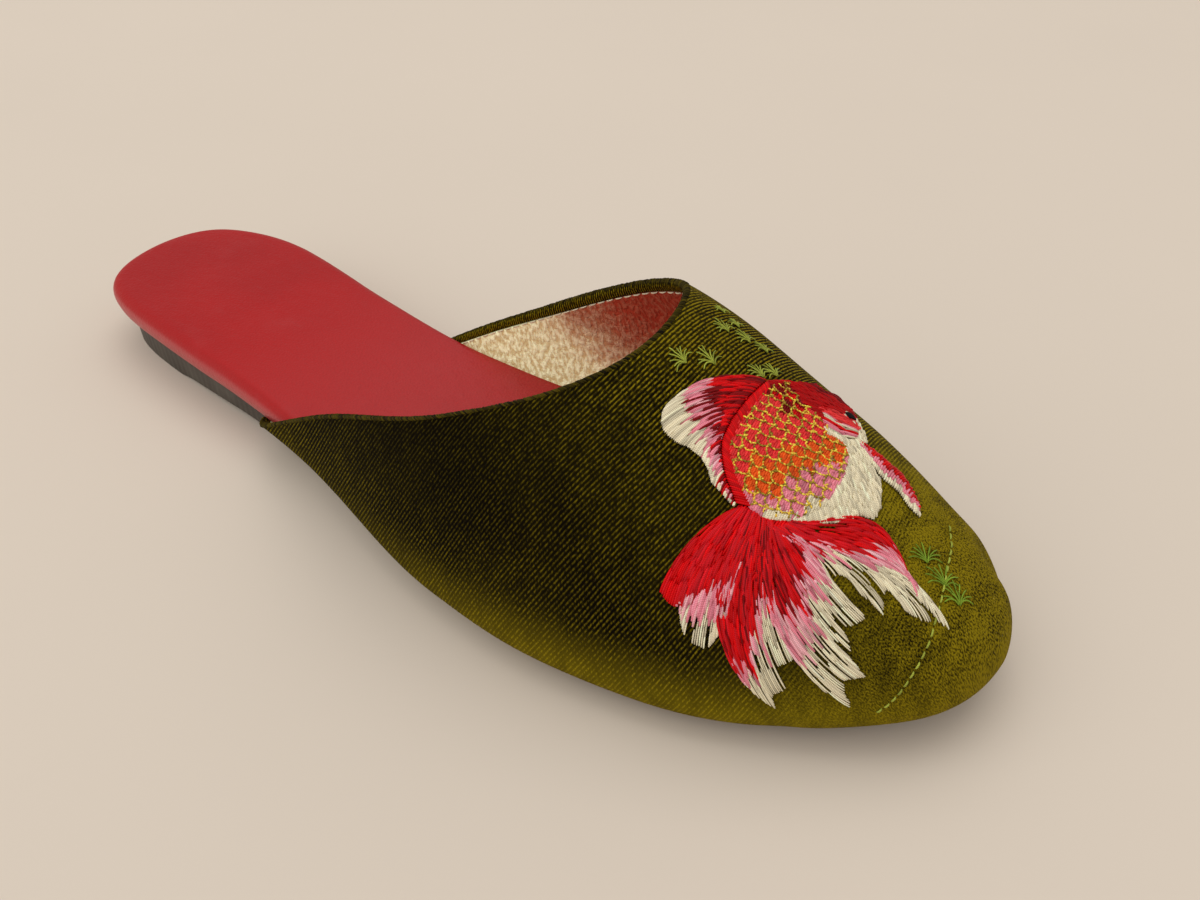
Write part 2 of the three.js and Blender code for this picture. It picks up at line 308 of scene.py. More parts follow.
def beside_topline(margin, distance):
    """Fine line at a distance from the topline: the turn, station and running length of its points."""
    turn = np.linspace(margin, np.pi - margin, 3000)
    station, _ = toward_toe(station_at(TOP(np.degrees(turn))), turn, distance)
    return turn, station, running(upper_point(station, turn))


# Making meshes

def add_mesh(name, points, faces, colour=None, corner_uv=None, vertex_uv=None, weld=True):
    """New object from points in mm of the last's frame, as a closed smooth mesh with its own UV or colour."""
    mesh = bpy.data.meshes.new(name)
    mesh.from_pydata((np.reshape(points, (-1, 3)) + SHIFT) / 1000, [], faces)
    if colour is not None:
        layer = mesh.color_attributes.new("tone", "FLOAT_COLOR", "POINT")
        flat = np.ones((len(mesh.vertices), 4))
        flat[:, :3] = colour
        layer.data.foreach_set("color", flat.ravel())
    if vertex_uv is not None:
        loops = np.empty(len(mesh.loops), int)
        mesh.loops.foreach_get("vertex_index", loops)
        corner_uv = np.reshape(vertex_uv, (-1, 2))[loops]
    if corner_uv is not None:
        mesh.uv_layers.new(name="chart").data.foreach_set("uv", np.asarray(corner_uv, float).ravel())
    if weld:
        work = bmesh.new()
        work.from_mesh(mesh)
        bmesh.ops.remove_doubles(work, verts=work.verts, dist=1e-6)
        bmesh.ops.dissolve_degenerate(work, edges=work.edges, dist=1e-7)
        bmesh.ops.recalc_face_normals(work, faces=work.faces)
        work.to_mesh(mesh)
        work.free()
    mesh.validate()
    mesh.shade_smooth()
    piece = bpy.data.objects.new(name, mesh)
    bpy.context.scene.collection.objects.link(piece)
    return piece


def place(piece, material, slot, *nodes):
    """Give a piece its material and body, and hide the nodes it stands for. slot is not used."""
    piece.data.materials.append(material)
    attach(piece, "root")
    if nodes:
        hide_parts(*nodes)
    return piece


def grid_faces(rows, columns, closed):
    """Quads of a grid, row by row; closed joins the last column to the first."""
    i, j = np.meshgrid(np.arange(rows - 1), np.arange(columns if closed else columns - 1), indexing="ij")
    k = (j + 1) % columns
    quads = np.stack([i * columns + j, i * columns + k, (i + 1) * columns + k, (i + 1) * columns + j], -1)
    return quads.reshape(-1, 4)


def upper_shell(name, outer, inner, rim, rows, columns, crinkle=0.0):
    """Closed shell on the upper: S(station, turn) + (relief - offset) x normal, where the station runs from
    the topline to the toe by distance over column length. The outer and inner faces each lie at one offset,
    and rim lists the (distance, offset) pairs between them. crinkle is the height of fine wrinkles."""
    even = np.linspace(0, np.pi, columns)
    turn = (even + np.pi / 2 * (1 - np.cos(even))) / 2
    start = station_at(TOP(np.degrees(turn)))
    way = np.linspace(0, 1, 200)[:, None]
    probe = upper_point(start + (np.pi - start) * way, np.broadcast_to(turn, (len(way), columns)))
    length = np.linalg.norm(np.diff(probe, axis=0), axis=2).sum(0)
    share = np.linspace(0, 1, rows)[1:, None]
    edge = np.array(rim)
    first, last = edge[0, 0], edge[-1, 0]
    distance = np.concatenate([first + (length - first) * share[::-1], np.repeat(edge[:, :1], columns, 1),
                               last + (length - last) * share])
    offset = np.concatenate([np.full(rows - 1, outer), edge[:, 1], np.full(rows - 1, inner)])[:, None]
    station = start + (np.pi - start) * distance / length
    turns = np.broadcast_to(turn, station.shape)
    a = BED_LENGTH * share_at(station)
    b = girth_at(a, turns)
    wrinkles = np.sin(a * 1.9 + 2 * np.sin(b * .7)) * np.sin(b * 2.3 + 1.7 * np.sin(a * .9))
    points, _ = lifted(station, turns, relief(a, b) - offset + crinkle * wrinkles)
    # At the toe the two halves of a row meet in one line
    for row in (0, -1):
        points[row] = (points[row] + points[row][::-1]) / 2
    total = len(distance)
    faces = [grid_faces(total, columns, False)]
    # At the seat the outer face is joined to the inner one
    k = np.arange(total // 2 - 1 + total % 2)
    for column in (0, columns - 1):
        low = np.stack([k, k + 1, total - 2 - k, total - 1 - k], -1)
        faces.append(low * columns + column)
    quads = np.concatenate(faces).tolist()
    return add_mesh(name, points, quads, vertex_uv=np.stack([a, b], -1) / 100)


def sole_body(name, wall, top, bottom, steps, across, crown, shade):
    """Closed loft along the stations. At each one the outline is drawn in by the wall's insets at the wall's
    heights, and the top and bottom run across from side to side. crown(v, share of the length) lifts the top,
    v from -1 to 1 across. shade is the tone of each wall height; the top has tone 0 and the bottom 1."""
    station = np.linspace(0, np.pi, steps)
    sides = {}
    for side in (-1, 1):
        share = np.clip(outline_point(station, side, 0)[0] / BED_LENGTH, 0, 1)
        column = []
        for inset, height in wall:
            x, y = outline_point(station, side, -inset(share))[:2]
            column.append(np.stack([x, y, height(x)], -1))
        sides[side] = np.stack(column, 1)
    v = np.linspace(-1, 1, across + 2)[1:-1]
    m = ((1 + v) / 2)[None, :, None]
    lid = sides[-1][:, -1:] * (1 - m) + sides[1][:, -1:] * m
    lid[..., 2] = top(lid[..., 0]) + crown(v[None, :], lid[..., 0] / BED_LENGTH)
    base = sides[1][:, :1] * (1 - m) + sides[-1][:, :1] * m
    base[..., 2] = bottom(base[..., 0])
    ring = np.concatenate([sides[-1], lid, sides[1][:, ::-1], base], 1)
    tone = np.concatenate([shade, np.zeros(across), shade[::-1], np.ones(across)])
    colour = np.repeat(np.broadcast_to(tone, ring.shape[:2]).reshape(-1, 1), 3, 1)
    return add_mesh(name, ring, grid_faces(steps, ring.shape[1], True).tolist(), colour=colour)


# A stitch: its rings and their sides, where they stand along it, how thick they are, and how the stitch dips
# into the cloth at both ends, in thread radii and as a share of its lift
RINGS = 5
SIDES = 5
ALONG = np.array([0, .05, .27, .5, .73, .95, 1])
GIRTHS = np.array([.8, 1, 1, 1, .8])
DIP = np.array([-.6, .2, .9, 1, .9, .2, -.6])
SINK = np.array([.8, .95, 1, 1, 1, .95, .8])
FLATNESS = .85


def thread_mesh(name, centre, up, radius, colour):
    """Threads as closed tubes: rings of points round each centre line and a point at each end.
    Ring point = centre + radius x (cos angle x side + flatness x sin angle x up). The chart is the length run
    along the thread and the share of a turn round it."""
    count = len(centre)
    along = np.gradient(centre, axis=1)
    side = np.cross(along, up)
    side /= np.maximum(np.linalg.norm(side, axis=-1, keepdims=True), 1e-9)
    angle = 2 * np.pi * (np.arange(SIDES) + .25) / SIDES
    girth = np.broadcast_to(np.asarray(radius, float).reshape(-1, 1), (count, 1)) * GIRTHS
    across, lift = np.cos(angle)[:, None], FLATNESS * np.sin(angle)[:, None]
    ring = across * side[:, 1:-1, None] + lift * up[:, 1:-1, None]
    points = centre[:, 1:-1, None] + girth[:, :, None, None] * ring
    points = np.concatenate([points.reshape(count, -1, 3), centre[:, [0, -1]]], 1)
    quads = grid_faces(RINGS, SIDES, True)[:, [0, 3, 2, 1]]
    k = np.arange(SIDES)
    n = (k + 1) % SIDES
    last = (RINGS - 1) * SIDES
    head = np.full(SIDES, RINGS * SIDES)
    caps = np.concatenate([np.stack([head, k, n], -1), np.stack([head + 1, last + n, last + k], -1)])
    base = (np.arange(count) * (RINGS * SIDES + 2))[:, None, None]
    faces = (quads + base).reshape(-1, 4).tolist() + (caps + base).reshape(-1, 3).tolist()
    length = np.linalg.norm(centre[:, -1] - centre[:, 0], axis=-1)[:, None, None]
    q_uv = np.stack([ALONG[1:-1][quads // SIDES], (quads % SIDES) / SIDES], -1)
    q_uv[:, 2:, 1] = np.where(q_uv[:, 2:, 1] == 0, 1, q_uv[:, 2:, 1])
    c_uv = np.zeros((2 * SIDES, 3, 2))
    c_uv[:, :, 1] = .5
    c_uv[SIDES:, :, 0] = 1
    tile = lambda uv: np.concatenate([uv[None, ..., 0] * length, np.repeat(uv[None, ..., 1], count, 0)], -1)
    split = lambda uv: np.stack([tile(uv)[..., :uv.shape[1]], tile(uv)[..., uv.shape[1]:]], -1).reshape(-1, 2)
    corner_uv = np.concatenate([split(q_uv), split(c_uv)])
    shades = np.repeat(colour, RINGS * SIDES + 2, 0)
    return add_mesh(name, points, faces, colour=shades, corner_uv=corner_uv, weld=False)


# Embroidery, drawn on the chart

def heading(degrees):
    """Unit vector of the chart at an angle from its a axis."""
    return np.array([math.cos(math.radians(degrees)), math.sin(math.radians(degrees))])


def aside(way):
    """A vector turned by a quarter."""
    return np.array([-way[1], way[0]])


def evenly(points, count):
    """Points at equal steps along a line of given ones, and the line's length."""
    points = np.asarray(points, float)
    run = running(points)
    q = np.linspace(0, run[-1], count)
    return np.stack([np.interp(q, run, points[:, k]) for k in (0, 1)], -1), run[-1]


def inside(outline, a, b):
    """Which chart points lie inside an outline: an odd number of its edges cross the line to the left."""
    p = np.asarray(outline, float)
    q = np.roll(p, -1, 0)
    a, b = a[..., None], b[..., None]
    crossing = (p[:, 1] > b) != (q[:, 1] > b)
    rise = np.where(q[:, 1] == p[:, 1], 1e-9, q[:, 1] - p[:, 1])
    return ((crossing & (a < p[:, 0] + (q[:, 0] - p[:, 0]) * (b - p[:, 1]) / rise)).sum(-1) % 2) == 1


# Lift of satin over the velvet, and the radius of its threads in a fan and in a fill, in mm
SATIN_LIFT = .3
FAN_RADIUS = .25
FILL_RADIUS = .24


class Work:
    """Stitches gathered for one piece: start, end, bow, lift, radius and colour of each."""

    def __init__(self, seed):
        self.rng = np.random.default_rng(seed)
        self.rows = []

    def add(self, start, end, colour, lift, radius, bow=0.0):
        """One stitch; its tone varies a little, as thread does."""
        tone = np.asarray(colour) * np.clip(1 + self.rng.normal(-.02, .17), .5, 1.35)
        self.rows.append([*start, *end, bow, lift + self.rng.uniform(0, .08), radius, *np.clip(tone, 0, 1)])

    def chain(self, at, low, high, colour, longest, lift, radius, keep=None):
        """Stitches end to end along the curve at(w) from low to high, unevenly; keep(w) leaves some out."""
        size = max(np.linalg.norm(at(high) - at(low)), .05)
        parts = max(1, round(size / longest + self.rng.uniform(-.3, .3)))
        cuts = np.linspace(low, high, parts + 1)
        cuts[1:-1] += self.rng.uniform(-.3, .3, parts - 1) * (high - low) / parts
        spare = .16 * (high - low) / size
        for first, last in zip(cuts[:-1], cuts[1:]):
            if keep and not keep((first + last) / 2):
                continue
            start, end = at(max(first - spare, 0)), at(min(last + spare, 1))
            across = aside(end - start) / max(np.linalg.norm(end - start), 1e-6)
            bow = (at((first + last) / 2) - (start + end) / 2) @ across
            self.add(start, end, colour, lift, radius, bow)

    def fan(self, root, rim, bands, pitch, bow=((0, 0), (1, 0)), lean=1.0, longest=5.5, thin=1.0, jitter=.6,
            sparse=1.0):
        """Satin from a root line to a rim line: thread s runs from root(s) to rim(s) and bows sideways by
        bow(s) x w^lean x (1 - w), scaled to 1 at its widest. It changes colour where a band ends. Each band
        is (colour or list of colours to pick from, [(s, share of the way)...]). Where the fan is narrow some
        stitches are left out. In the last band thin scales the thread and sparse the number of stitches."""
        _, root_run = evenly(root, 2)
        _, rim_run = evenly(rim, 2)
        swell = np.ptp([amount for _, amount in bow])
        count = int(max(root_run, rim_run, (root_run + rim_run) / 2 + swell) / pitch)
        tops, _ = evenly(root, count)
        tips, _ = evenly(rim, count)
        peak = (lean / (1 + lean))**lean / (1 + lean)

        def width(w):
            return (root_run + (rim_run - root_run) * w + swell * w**lean * (1 - w) / peak) / count

        for k, (top, tip) in enumerate(zip(tops, tips)):
            s = k / max(count - 1, 1)
            size = max(np.linalg.norm(tip - top), .3)
            bend = np.interp(s, *zip(*bow)) / peak
            across = aside(tip - top) / size
            at = lambda w: top + (tip - top) * w + across * bend * w**lean * (1 - w)
            phase = self.rng.uniform(0, .3)

            def keep(w):
                share = min(1, width(w) / pitch * 1.6)
                return int(k * share + phase) != int((k - 1) * share + phase) or k == 0

            def keep_few(w):
                return keep(w) and self.rng.random() < sparse

            low = max(self.rng.uniform(-.15, .15) / size, 0)
            for band in bands:
                colour, ends = band
                high = min(np.interp(s, *zip(*ends)), 1)
                if high < 1:
                    high = min(high + self.rng.normal(0, jitter) / size, 1)
                else:
                    high = 1 - self.rng.uniform(0, .3) / size
                if high - low > .15 / size:
                    shade = colour[self.rng.integers(len(colour))] if isinstance(colour, list) else colour
                    last = band is bands[-1]
                    self.chain(at, low, high, shade, longest * (sparse if last else 1), SATIN_LIFT,
                               FAN_RADIUS * (thin if last else 1), keep_few if last else keep)
                low = max(low, high)

    def fill(self, outline, angle, colour_of, pitch, shortest=2.0, longest=4.5, lift=SATIN_LIFT):
        """Parallel satin over an outline: lines at the angle, cut to the outline and broken unevenly, over a
        lower layer set half a step aside."""
        outline = np.asarray(outline, float)
        along = heading(angle)
        across = aside(along)
        reach, spread = outline @ along, outline @ across
        q = np.arange(reach.min() - 1, reach.max() + 1, .1)
        lines = np.arange(spread.min() + pitch / 2, spread.max(), pitch)
        for line, rise in [(x, lift) for x in lines] + [(x + pitch / 2, lift - .16) for x in lines]:
            path = q[:, None] * along + line * across
            hit = np.concatenate([[False], inside(outline, path[:, 0], path[:, 1]), [False]])
            change = np.flatnonzero(hit[1:] != hit[:-1])
            for low, high in zip(change[::2], change[1::2]):
                spot = q[low] + self.rng.uniform(-.2, .2)
                stop = q[min(high, len(q) - 1)] + self.rng.uniform(-.2, .2)
                while stop - spot > .25:
                    span = min(self.rng.uniform(shortest, longest), stop - spot)
                    if stop - spot - span < .8:
                        span = stop - spot
                    first = spot * along + line * across
                    last = (spot + span + .3) * along + line * across
                    self.add(first, last, colour_of((first + last) / 2), rise, FILL_RADIUS)
                    spot += span

    def sew(self, name, silk, roughness, metallic=0.0):
        """All the gathered stitches as one piece, each dipping into the cloth at both ends."""
        rows = np.array(self.rows)
        start, end = rows[:, None, 0:2], rows[:, None, 2:4]
        bow, lift, radius, colour = rows[:, 4:5], rows[:, 5:6], rows[:, 6:7], rows[:, 7:]
        run = end - start
        size = np.maximum(np.linalg.norm(run, axis=-1), 1e-6)
        across = np.stack([-run[..., 1], run[..., 0]], -1) / size[..., None]
        chart = start + run * ALONG[None, :, None] + across * (bow * 4 * ALONG * (1 - ALONG))[..., None]
        centre, up = on_velvet(chart[..., 0], chart[..., 1], lift * SINK + DIP * radius)
        piece = thread_mesh(name, centre, up, radius, colour)
        place(piece, thread_finish(silk, roughness, metallic), "embroidery_thread")


# Lines of the goldfish, in the chart

FIN_ROOT = [(192.1, -5.8), (192, 1), (192.2, 7.6), (192.8, 11.6), (193.5, 13.2), (194.5, 14.5),
            (195.5, 15.7), (196.7, 16.8), (198, 17.7), (199.5, 18.9)]
FIN_RIM = [(183.4, 12.3), (183, 14.3), (183, 15.8), (183.6, 17.1), (184.6, 18), (186.8, 18.1),
           (189.2, 17.2), (191.6, 16.9), (193.5, 17.6), (195, 19), (197, 19.4), (199.7, 19.7)]
STREAKS = [(.04, .4, .8), (.08, .35, .72), (.12, .3, .86), (.17, .32, .66), (.21, .28, .84), (.26, .3, .6),
           (.31, .25, .74), (.36, .22, .56), (.41, .2, .7), (.47, .2, .5), (.53, .18, .6), (.6, .12, .45)]
BREAST_ROOT = [(209.6, -9.9), (212.5, -10.8), (214.7, -11), (217.7, -11.4), (220.4, -9.6), (222.9, -6.9)]
BREAST_RIM = [(210.8, -8), (213.2, -6.1), (215.8, -5.1), (219.2, -5.6), (221.9, -4.4), (224, -4.4)]
BAND_INNER = [(193.8, -3.5), (193.9, 1), (194, 7), (194.6, 10.6), (195.4, 12.6), (197, 14.4), (199.4, 15.8),
              (201.6, 16.6), (202.4, 17.4)]
BODY = [(193, -4.5), (194.2, -9.8), (198.2, -7.8), (201.2, -7.6), (203.7, -7), (205, -4.6), (207.4, -5.8),
        (208.7, -5), (209.9, -3.6), (210.6, -1.2), (211.3, 1.6), (211.4, 5.9), (211.5, 9.2), (210.3, 11.2),
        (209.8, 13), (208.4, 15), (204.8, 17.7), (202.2, 17.9), (199.4, 16.6), (197, 15), (195, 13.2),
        (194, 11), (193.3, 7)]
HEAD = [(192.1, -5.8), (193.5, -9), (195.4, -13.8), (196.4, -17.9), (198, -18.5), (199.1, -21.3),
        (200.5, -22.5), (203.2, -21), (205.4, -18.2), (206.2, -16.4), (204.6, -14.6), (202.6, -12.2),
        (201.6, -9.6), (203.6, -7.3), (201, -6.9), (198.2, -7.2), (194.6, -9.2), (193.2, -4.6)]
CHEEK = [(200.4, -9.4), (202.2, -12.4), (204.6, -14.8), (206.6, -15.2), (208, -13.6), (207.6, -11),
         (205, -9.4), (202.4, -8.8)]
CHEEK_ROOT = [(201.7, -9.4), (202.2, -8.2), (202.8, -7), (203.3, -5.9)]
CHEEK_RIM = [(207.9, -12.6), (208.5, -11.6), (208.9, -10.6), (208.8, -9.4)]
EYE = (205.2, -15.2)
EYE_STITCHES = [((203.9, -15.5), (204.5, -16.4)), ((204.2, -14.2), (205, -13.6)),
                ((206.4, -15.4), (207.2, -14.6)), ((206, -14.2), (206.9, -13.6))]
FACE = [(205.6, -17.4), (206.8, -16.2), (208.2, -14.5), (209.4, -12.8), (210.2, -11.4), (210.4, -9.4),
        (208, -9.4), (208.4, -11.8), (207.4, -14.2), (206, -15.4)]
BELLY = [(203.3, -5.9), (206, -6.8), (207.8, -7.6), (208.8, -9.8), (210, -11.5), (210.5, -8.6), (212, -7.3),
         (213.2, -5.9), (215.6, -4.4), (216.7, -2.5), (217.6, -.7), (218.3, 1.3), (218.4, 3.7), (216.4, 5.2),
         (215, 8.3), (212.4, 11.8), (209.3, 14.3), (208.4, 14.6), (209.8, 12.6), (210.4, 10.8), (211.3, 9.2),
         (211.2, 5.9), (211.1, 1.6), (210.4, -1.2), (209.8, -3.4), (208.5, -4.8), (207.2, -5.4),
         (204.8, -4.6)]

TAIL_ROOT = [(199.6, 20.6), (200.6, 18.4), (203.6, 17.4), (208.6, 15.2), (212, 18.4), (209.6, 24),
             (206, 30), (200.4, 31), (198.2, 26)]
# Lobes of the tail: root, rim, where red and then pink end, the sideways bow and its lean to the rim
LOBES = [
    dict(root=[(200, 20), (201, 18.6), (203.8, 17.6)],
         rim=[(194.9, 40), (196.7, 40.5), (197.9, 40.3), (198.4, 39), (199.6, 42), (200.5, 43.2),
              (202.5, 43.6), (204.8, 42.8), (205.6, 40.1), (206.1, 36.5), (205.6, 34.2)],
         dark=False, red=[(0, 1), (.22, 1), (.3, .84), (.45, .62), (.7, .54), (1, .62)],
         pink=[(0, 1), (.22, 1), (.34, .9), (.5, .8), (.7, .78), (1, .86)],
         bow=((0, 1.3), (.3, 1), (1, .2)), lean=1.0),
    dict(root=[(202.4, 18.6), (204.4, 17.6), (206, 17.2)],
         rim=[(211.5, 43.6), (213.2, 44), (214.9, 44.4), (217.5, 44.2), (216.4, 42.2), (218, 39),
              (216.1, 37.7), (215.4, 37.2), (217.4, 33.8), (217.3, 32.4), (215.4, 31.6), (213.6, 30.4)],
         dark=True, red=[(0, .92), (.2, .8), (.45, .64), (.7, .56), (1, .7)],
         pink=[(0, .96), (.2, .82), (.45, .7), (.7, .66), (.9, .84), (1, .95)],
         bow=((0, 4.2), (.3, 3), (.7, 1.6), (1, 1.2)), lean=1.4),
    dict(root=[(204.6, 18.4), (206.4, 17.6), (208, 16.6)],
         rim=[(228.2, 33.7), (227.6, 32.5), (226.4, 31.8), (225.7, 29.7), (227, 28.3), (228.4, 26.7),
              (226.6, 26.2), (225, 25.9), (224.9, 25), (224.2, 24), (223, 23.4), (222.7, 22.5),
              (223.8, 21.1), (224.8, 18.8), (223.2, 18.9), (220.2, 18.8), (218.5, 18.7), (217.5, 18.2)],
         dark=True, red=[(0, .42), (.2, .5), (.4, .5), (.6, .42), (.8, .32), (1, .28)],
         pink=[(0, .72), (.15, .72), (.28, .64), (.4, .54), (.6, .64), (.8, .5), (1, .52)],
         bow=((0, 5.8), (.3, 3.4), (.6, 1.2), (1, -.6)), lean=1.0),
    dict(root=[(205.8, 18.4), (207.4, 16.8), (208.4, 15)],
         rim=[(217.3, 18.2), (218.6, 16.6), (219.8, 16), (221.2, 16.1), (222.7, 16.5), (224.3, 16.3),
              (226.9, 16.5), (225.8, 14.2), (225.5, 13), (226.2, 12.5), (228.5, 12.9), (229.7, 13.4),
              (232.8, 12.6), (234.3, 10.9), (236.4, 10.3), (233.7, 10.6), (230.6, 10.3), (228.4, 9.3),
              (227.4, 8.3)],
         dark=False, red=[(0, .28), (.3, .34), (.5, .38), (.7, .45), (.85, .58), (.93, .8), (1, 1)],
         pink=[(0, .62), (.3, .48), (.5, .52), (.7, .62), (.85, .84), (.93, .96), (1, 1)],
         bow=((0, -.6), (.35, -1.6), (.65, -3), (.85, -4.6), (1, -6.2)), lean=1.9),
]
# A band that runs to the rim
WHOLE = [(0, 1), (1, 1)]
# Sprigs: place, heading in degrees and size
SPRIGS = [(181.4, 5, 178, 3.5), (184.7, .6, 182, 3.6), (181.8, -9.6, 190, 3.3), (181.6, -14.4, 195, 2.6),
          (185, -12.4, 190, 3.3), (187.8, -14.4, 200, 2.9), (191.3, -6, 185, 3.2), (192.5, -9.4, 188, 3),
          (178, -15.6, 195, 2.4), (228.7, 3.1, 232, 3.8), (232.8, 4.5, 228, 4), (236.2, 5.3, 222, 3.8)]
TOE_LINE = [(228.4, -8.8), (230.7, -3.7), (231.5, 0), (232.6, 4.4), (233.4, 7.6), (234, 11), (234.6, 14.4),
            (234.6, 18.4), (234.1, 22.8), (233.5, 25.9), (232.9, 28.1), (231.3, 32.1)]

# Rows of scales slant across the body
ROW_WAY = heading(24)
ROW_ACROSS = aside(ROW_WAY)


def scale_centres(rng):
    """Centres of the scales: slanting rows, every other one shifted by half a scale, none quite in line."""
    row, column = np.meshgrid(np.arange(-10, 11), np.arange(-6, 7), indexing="ij")
    along = column * 2.7 + (row % 2) * 1.35 + rng.uniform(-.28, .28, row.shape)
    across = row * 1.62 + rng.uniform(-.22, .22, row.shape)
    return np.array([202, 4]) + along.reshape(-1, 1) * ROW_WAY + across.reshape(-1, 1) * ROW_ACROSS


# Node helpers

class Value:
    """A shader value: + - * / on it add Math nodes."""

    def __init__(self, finish, socket):
        self.finish, self.socket = finish, socket

    def math(self, operation, *others):
        return self.finish.node("ShaderNodeMath", dict(enumerate((self, *others))), operation=operation)

    def __add__(self, other):
        return self.math("ADD", other)

    def __sub__(self, other):
        return self.math("SUBTRACT", other)

    def __rsub__(self, other):
        return self * -1 + other

    def __mul__(self, other):
        return self.math("MULTIPLY", other)

    def __truediv__(self, other):
        return self.math("DIVIDE", other)

    def __pow__(self, other):
        return self.math("POWER", other)

    __radd__, __rmul__ = __add__, __mul__

    def ramp(self, low, high):
        """0 below low, 1 above high, smooth between; low may be the larger."""
        inputs = {"Value": self, "From Min": low, "From Max": high}
        return self.finish.node("ShaderNodeMapRange", inputs, interpolation_type="SMOOTHSTEP", clamp=True)


class Finish:
    """A material in the making: constants go straight on the shader's sockets, node() adds any node."""

    def __init__(self, name, **constants):
        self.material = bpy.data.materials.new(name)
        self.material.use_nodes = True
        self.tree = self.material.node_tree
        self.shader = self.tree.nodes["Principled BSDF"]
        for words, value in constants.items():
            socket = self.shader.inputs[words.replace("_", " ").title().replace("Ior", "IOR")]
            socket.default_value = (*value, 1) if isinstance(value, tuple) else value

    def node(self, kind, inputs=None, out=0, **settings):
        """Any node: its type, the values or links of its sockets, and its settings, which are set first."""
        made = self.tree.nodes.new(kind)
        for key, value in settings.items():
            setattr(made, key, value)
        for key, value in (inputs or {}).items():
            if isinstance(value, Value):
                self.tree.links.new(value.socket, made.inputs[key])
            else:
                made.inputs[key].default_value = value
        return Value(self, made.outputs[out])

    def blend(self, first, second, mask, mode="MIX"):
        """Colour mixed from first to second by the mask."""
        first, second = (c if isinstance(c, Value) else (*c, 1) for c in (first, second))
        inputs = {0: mask, 6: first, 7: second}
        return self.node("ShaderNodeMix", inputs, 2, data_type="RGBA", blend_type=mode)

    def noise(self, where, scale, detail=2.0, stretch=None, turn=0.0):
        """Noise at a scale, stretched and turned when asked."""
        if stretch:
            inputs = {"Vector": where, "Scale": stretch, "Rotation": (0, 0, turn)}
            where = self.node("ShaderNodeMapping", inputs)
        return self.node("ShaderNodeTexNoise", {"Vector": where, "Scale": scale, "Detail": detail})

    def feed(self, socket, value):
        """Link a value that changes over the surface to the shader."""
        self.tree.links.new(value.socket, self.shader.inputs[socket])

    def bump(self, height, distance, strength=1.0):
        """Bump from a height of 0 to 1, times a distance in metres."""
        inputs = {"Height": height, "Distance": distance, "Strength": strength}
        self.feed("Normal", self.node("ShaderNodeBump", inputs))

    def position(self):
        """Object coordinates in metres."""
        return self.node("ShaderNodeTexCoord", out="Object")

    def part(self, vector, k):
        """One coordinate of a vector."""
        return self.node("ShaderNodeSeparateXYZ", {0: vector}, k)

    def chart(self):
        """The piece's own chart, in hundreds of mm, and its two coordinates in mm."""
        where = self.node("ShaderNodeUVMap", uv_map="chart")
        return where, self.part(where, 0) * 100, self.part(where, 1) * 100


def tone(red, green, blue):
    """Linear colour of a dyer's 0 to 255 shade."""
    return tuple((c / 255)**2.2 for c in (red, green, blue))


def velvet_finish(tints):
    """Olive stretch velvet: fine ribs in the chart, broken by pile noise, fading to plain pile at the toe.
    The ribs are a sine of a count that grows along the chart and tilts down the outer side. The outer side is
    dark, partly the nap's dark lay and partly painted shade; toward the ridge and the toe it is painted
    lighter, as lit from above, and a painted sheen runs along the hem."""
    finish = Finish("olive_velvet", roughness=.85, specular_ior_level=.04, sheen_weight=.08,
                    sheen_roughness=.22)
    finish.shader.inputs["Sheen Tint"].default_value = (*tints.velvet_sheen, 1)
    where, a, b = finish.chart()
    lean = math.radians(-19)
    wander = finish.noise(where, 7, 1)
    u = a - 170
    down = b.math("MAXIMUM", 0.0).math("MINIMUM", 28.0)
    tilt = down * down * .01 + (b - 28).math("MAXIMUM", 0.0) * .56
    count = u * 1.38 + u * u * .00175 + tilt - u * (b - 45) * .0033
    rib_way = count * (2 * math.pi) + wander * 2.2
    rib = (rib_way.math("SINE") * .5 + .5).ramp(.35, 1.0)
    pile = finish.noise(where, 1, 2, (230, 120, 1), lean)
    speck = finish.noise(where, 300, 3)
    brushed = finish.noise(where, 1, 3, (34, 15, 1), lean).ramp(.36, .66)
    ribbed = a.ramp(232, 205) * b.ramp(-40, -18).math("MAXIMUM", a.ramp(228, 196))
    body = rib * (.12 + pile.ramp(.38, .62)) + pile.ramp(.5, .75) * .12
    plain = speck.ramp(.36, .64) * .8 + brushed * .1
    nap = body * ribbed + plain * (1 - ribbed)
    # Painted shade over the outer side, partly the nap's dark lay
    side = ((a - 138) / 72)**2 + ((b - 44) / 34)**2
    shade = (side * -1).math("EXPONENT")
    cloud = finish.noise(where, 5, 2).ramp(.3, .7)
    # Painted sheen along the hem, low on the velvet and stronger toward the toe
    height = finish.part(finish.position(), 2)
    painted_hem_sheen = (height + brushed * .003 - a * .00002).ramp(.0195, .002)
    # The nap under the painted side shade, painted lighter toward the ridge as lit from above; the painted hem
    # sheen is added after
    light = (nap * 1.25 + cloud * .08) * (1 - shade * .84) * (.68 + b.ramp(26, 2) * .7) * (.7 + brushed * .5)
    light = light + painted_hem_sheen * (a.ramp(110, 190) * .42 + .08) * (.55 + brushed * .5 + speck * .5)
    colour = finish.blend(tints.velvet_deep, tints.velvet, light.math("MAXIMUM", 0.0))
    finish.feed("Base Color", colour)
    finish.bump(nap + speck * .15, .00026, .6)
    return finish.material


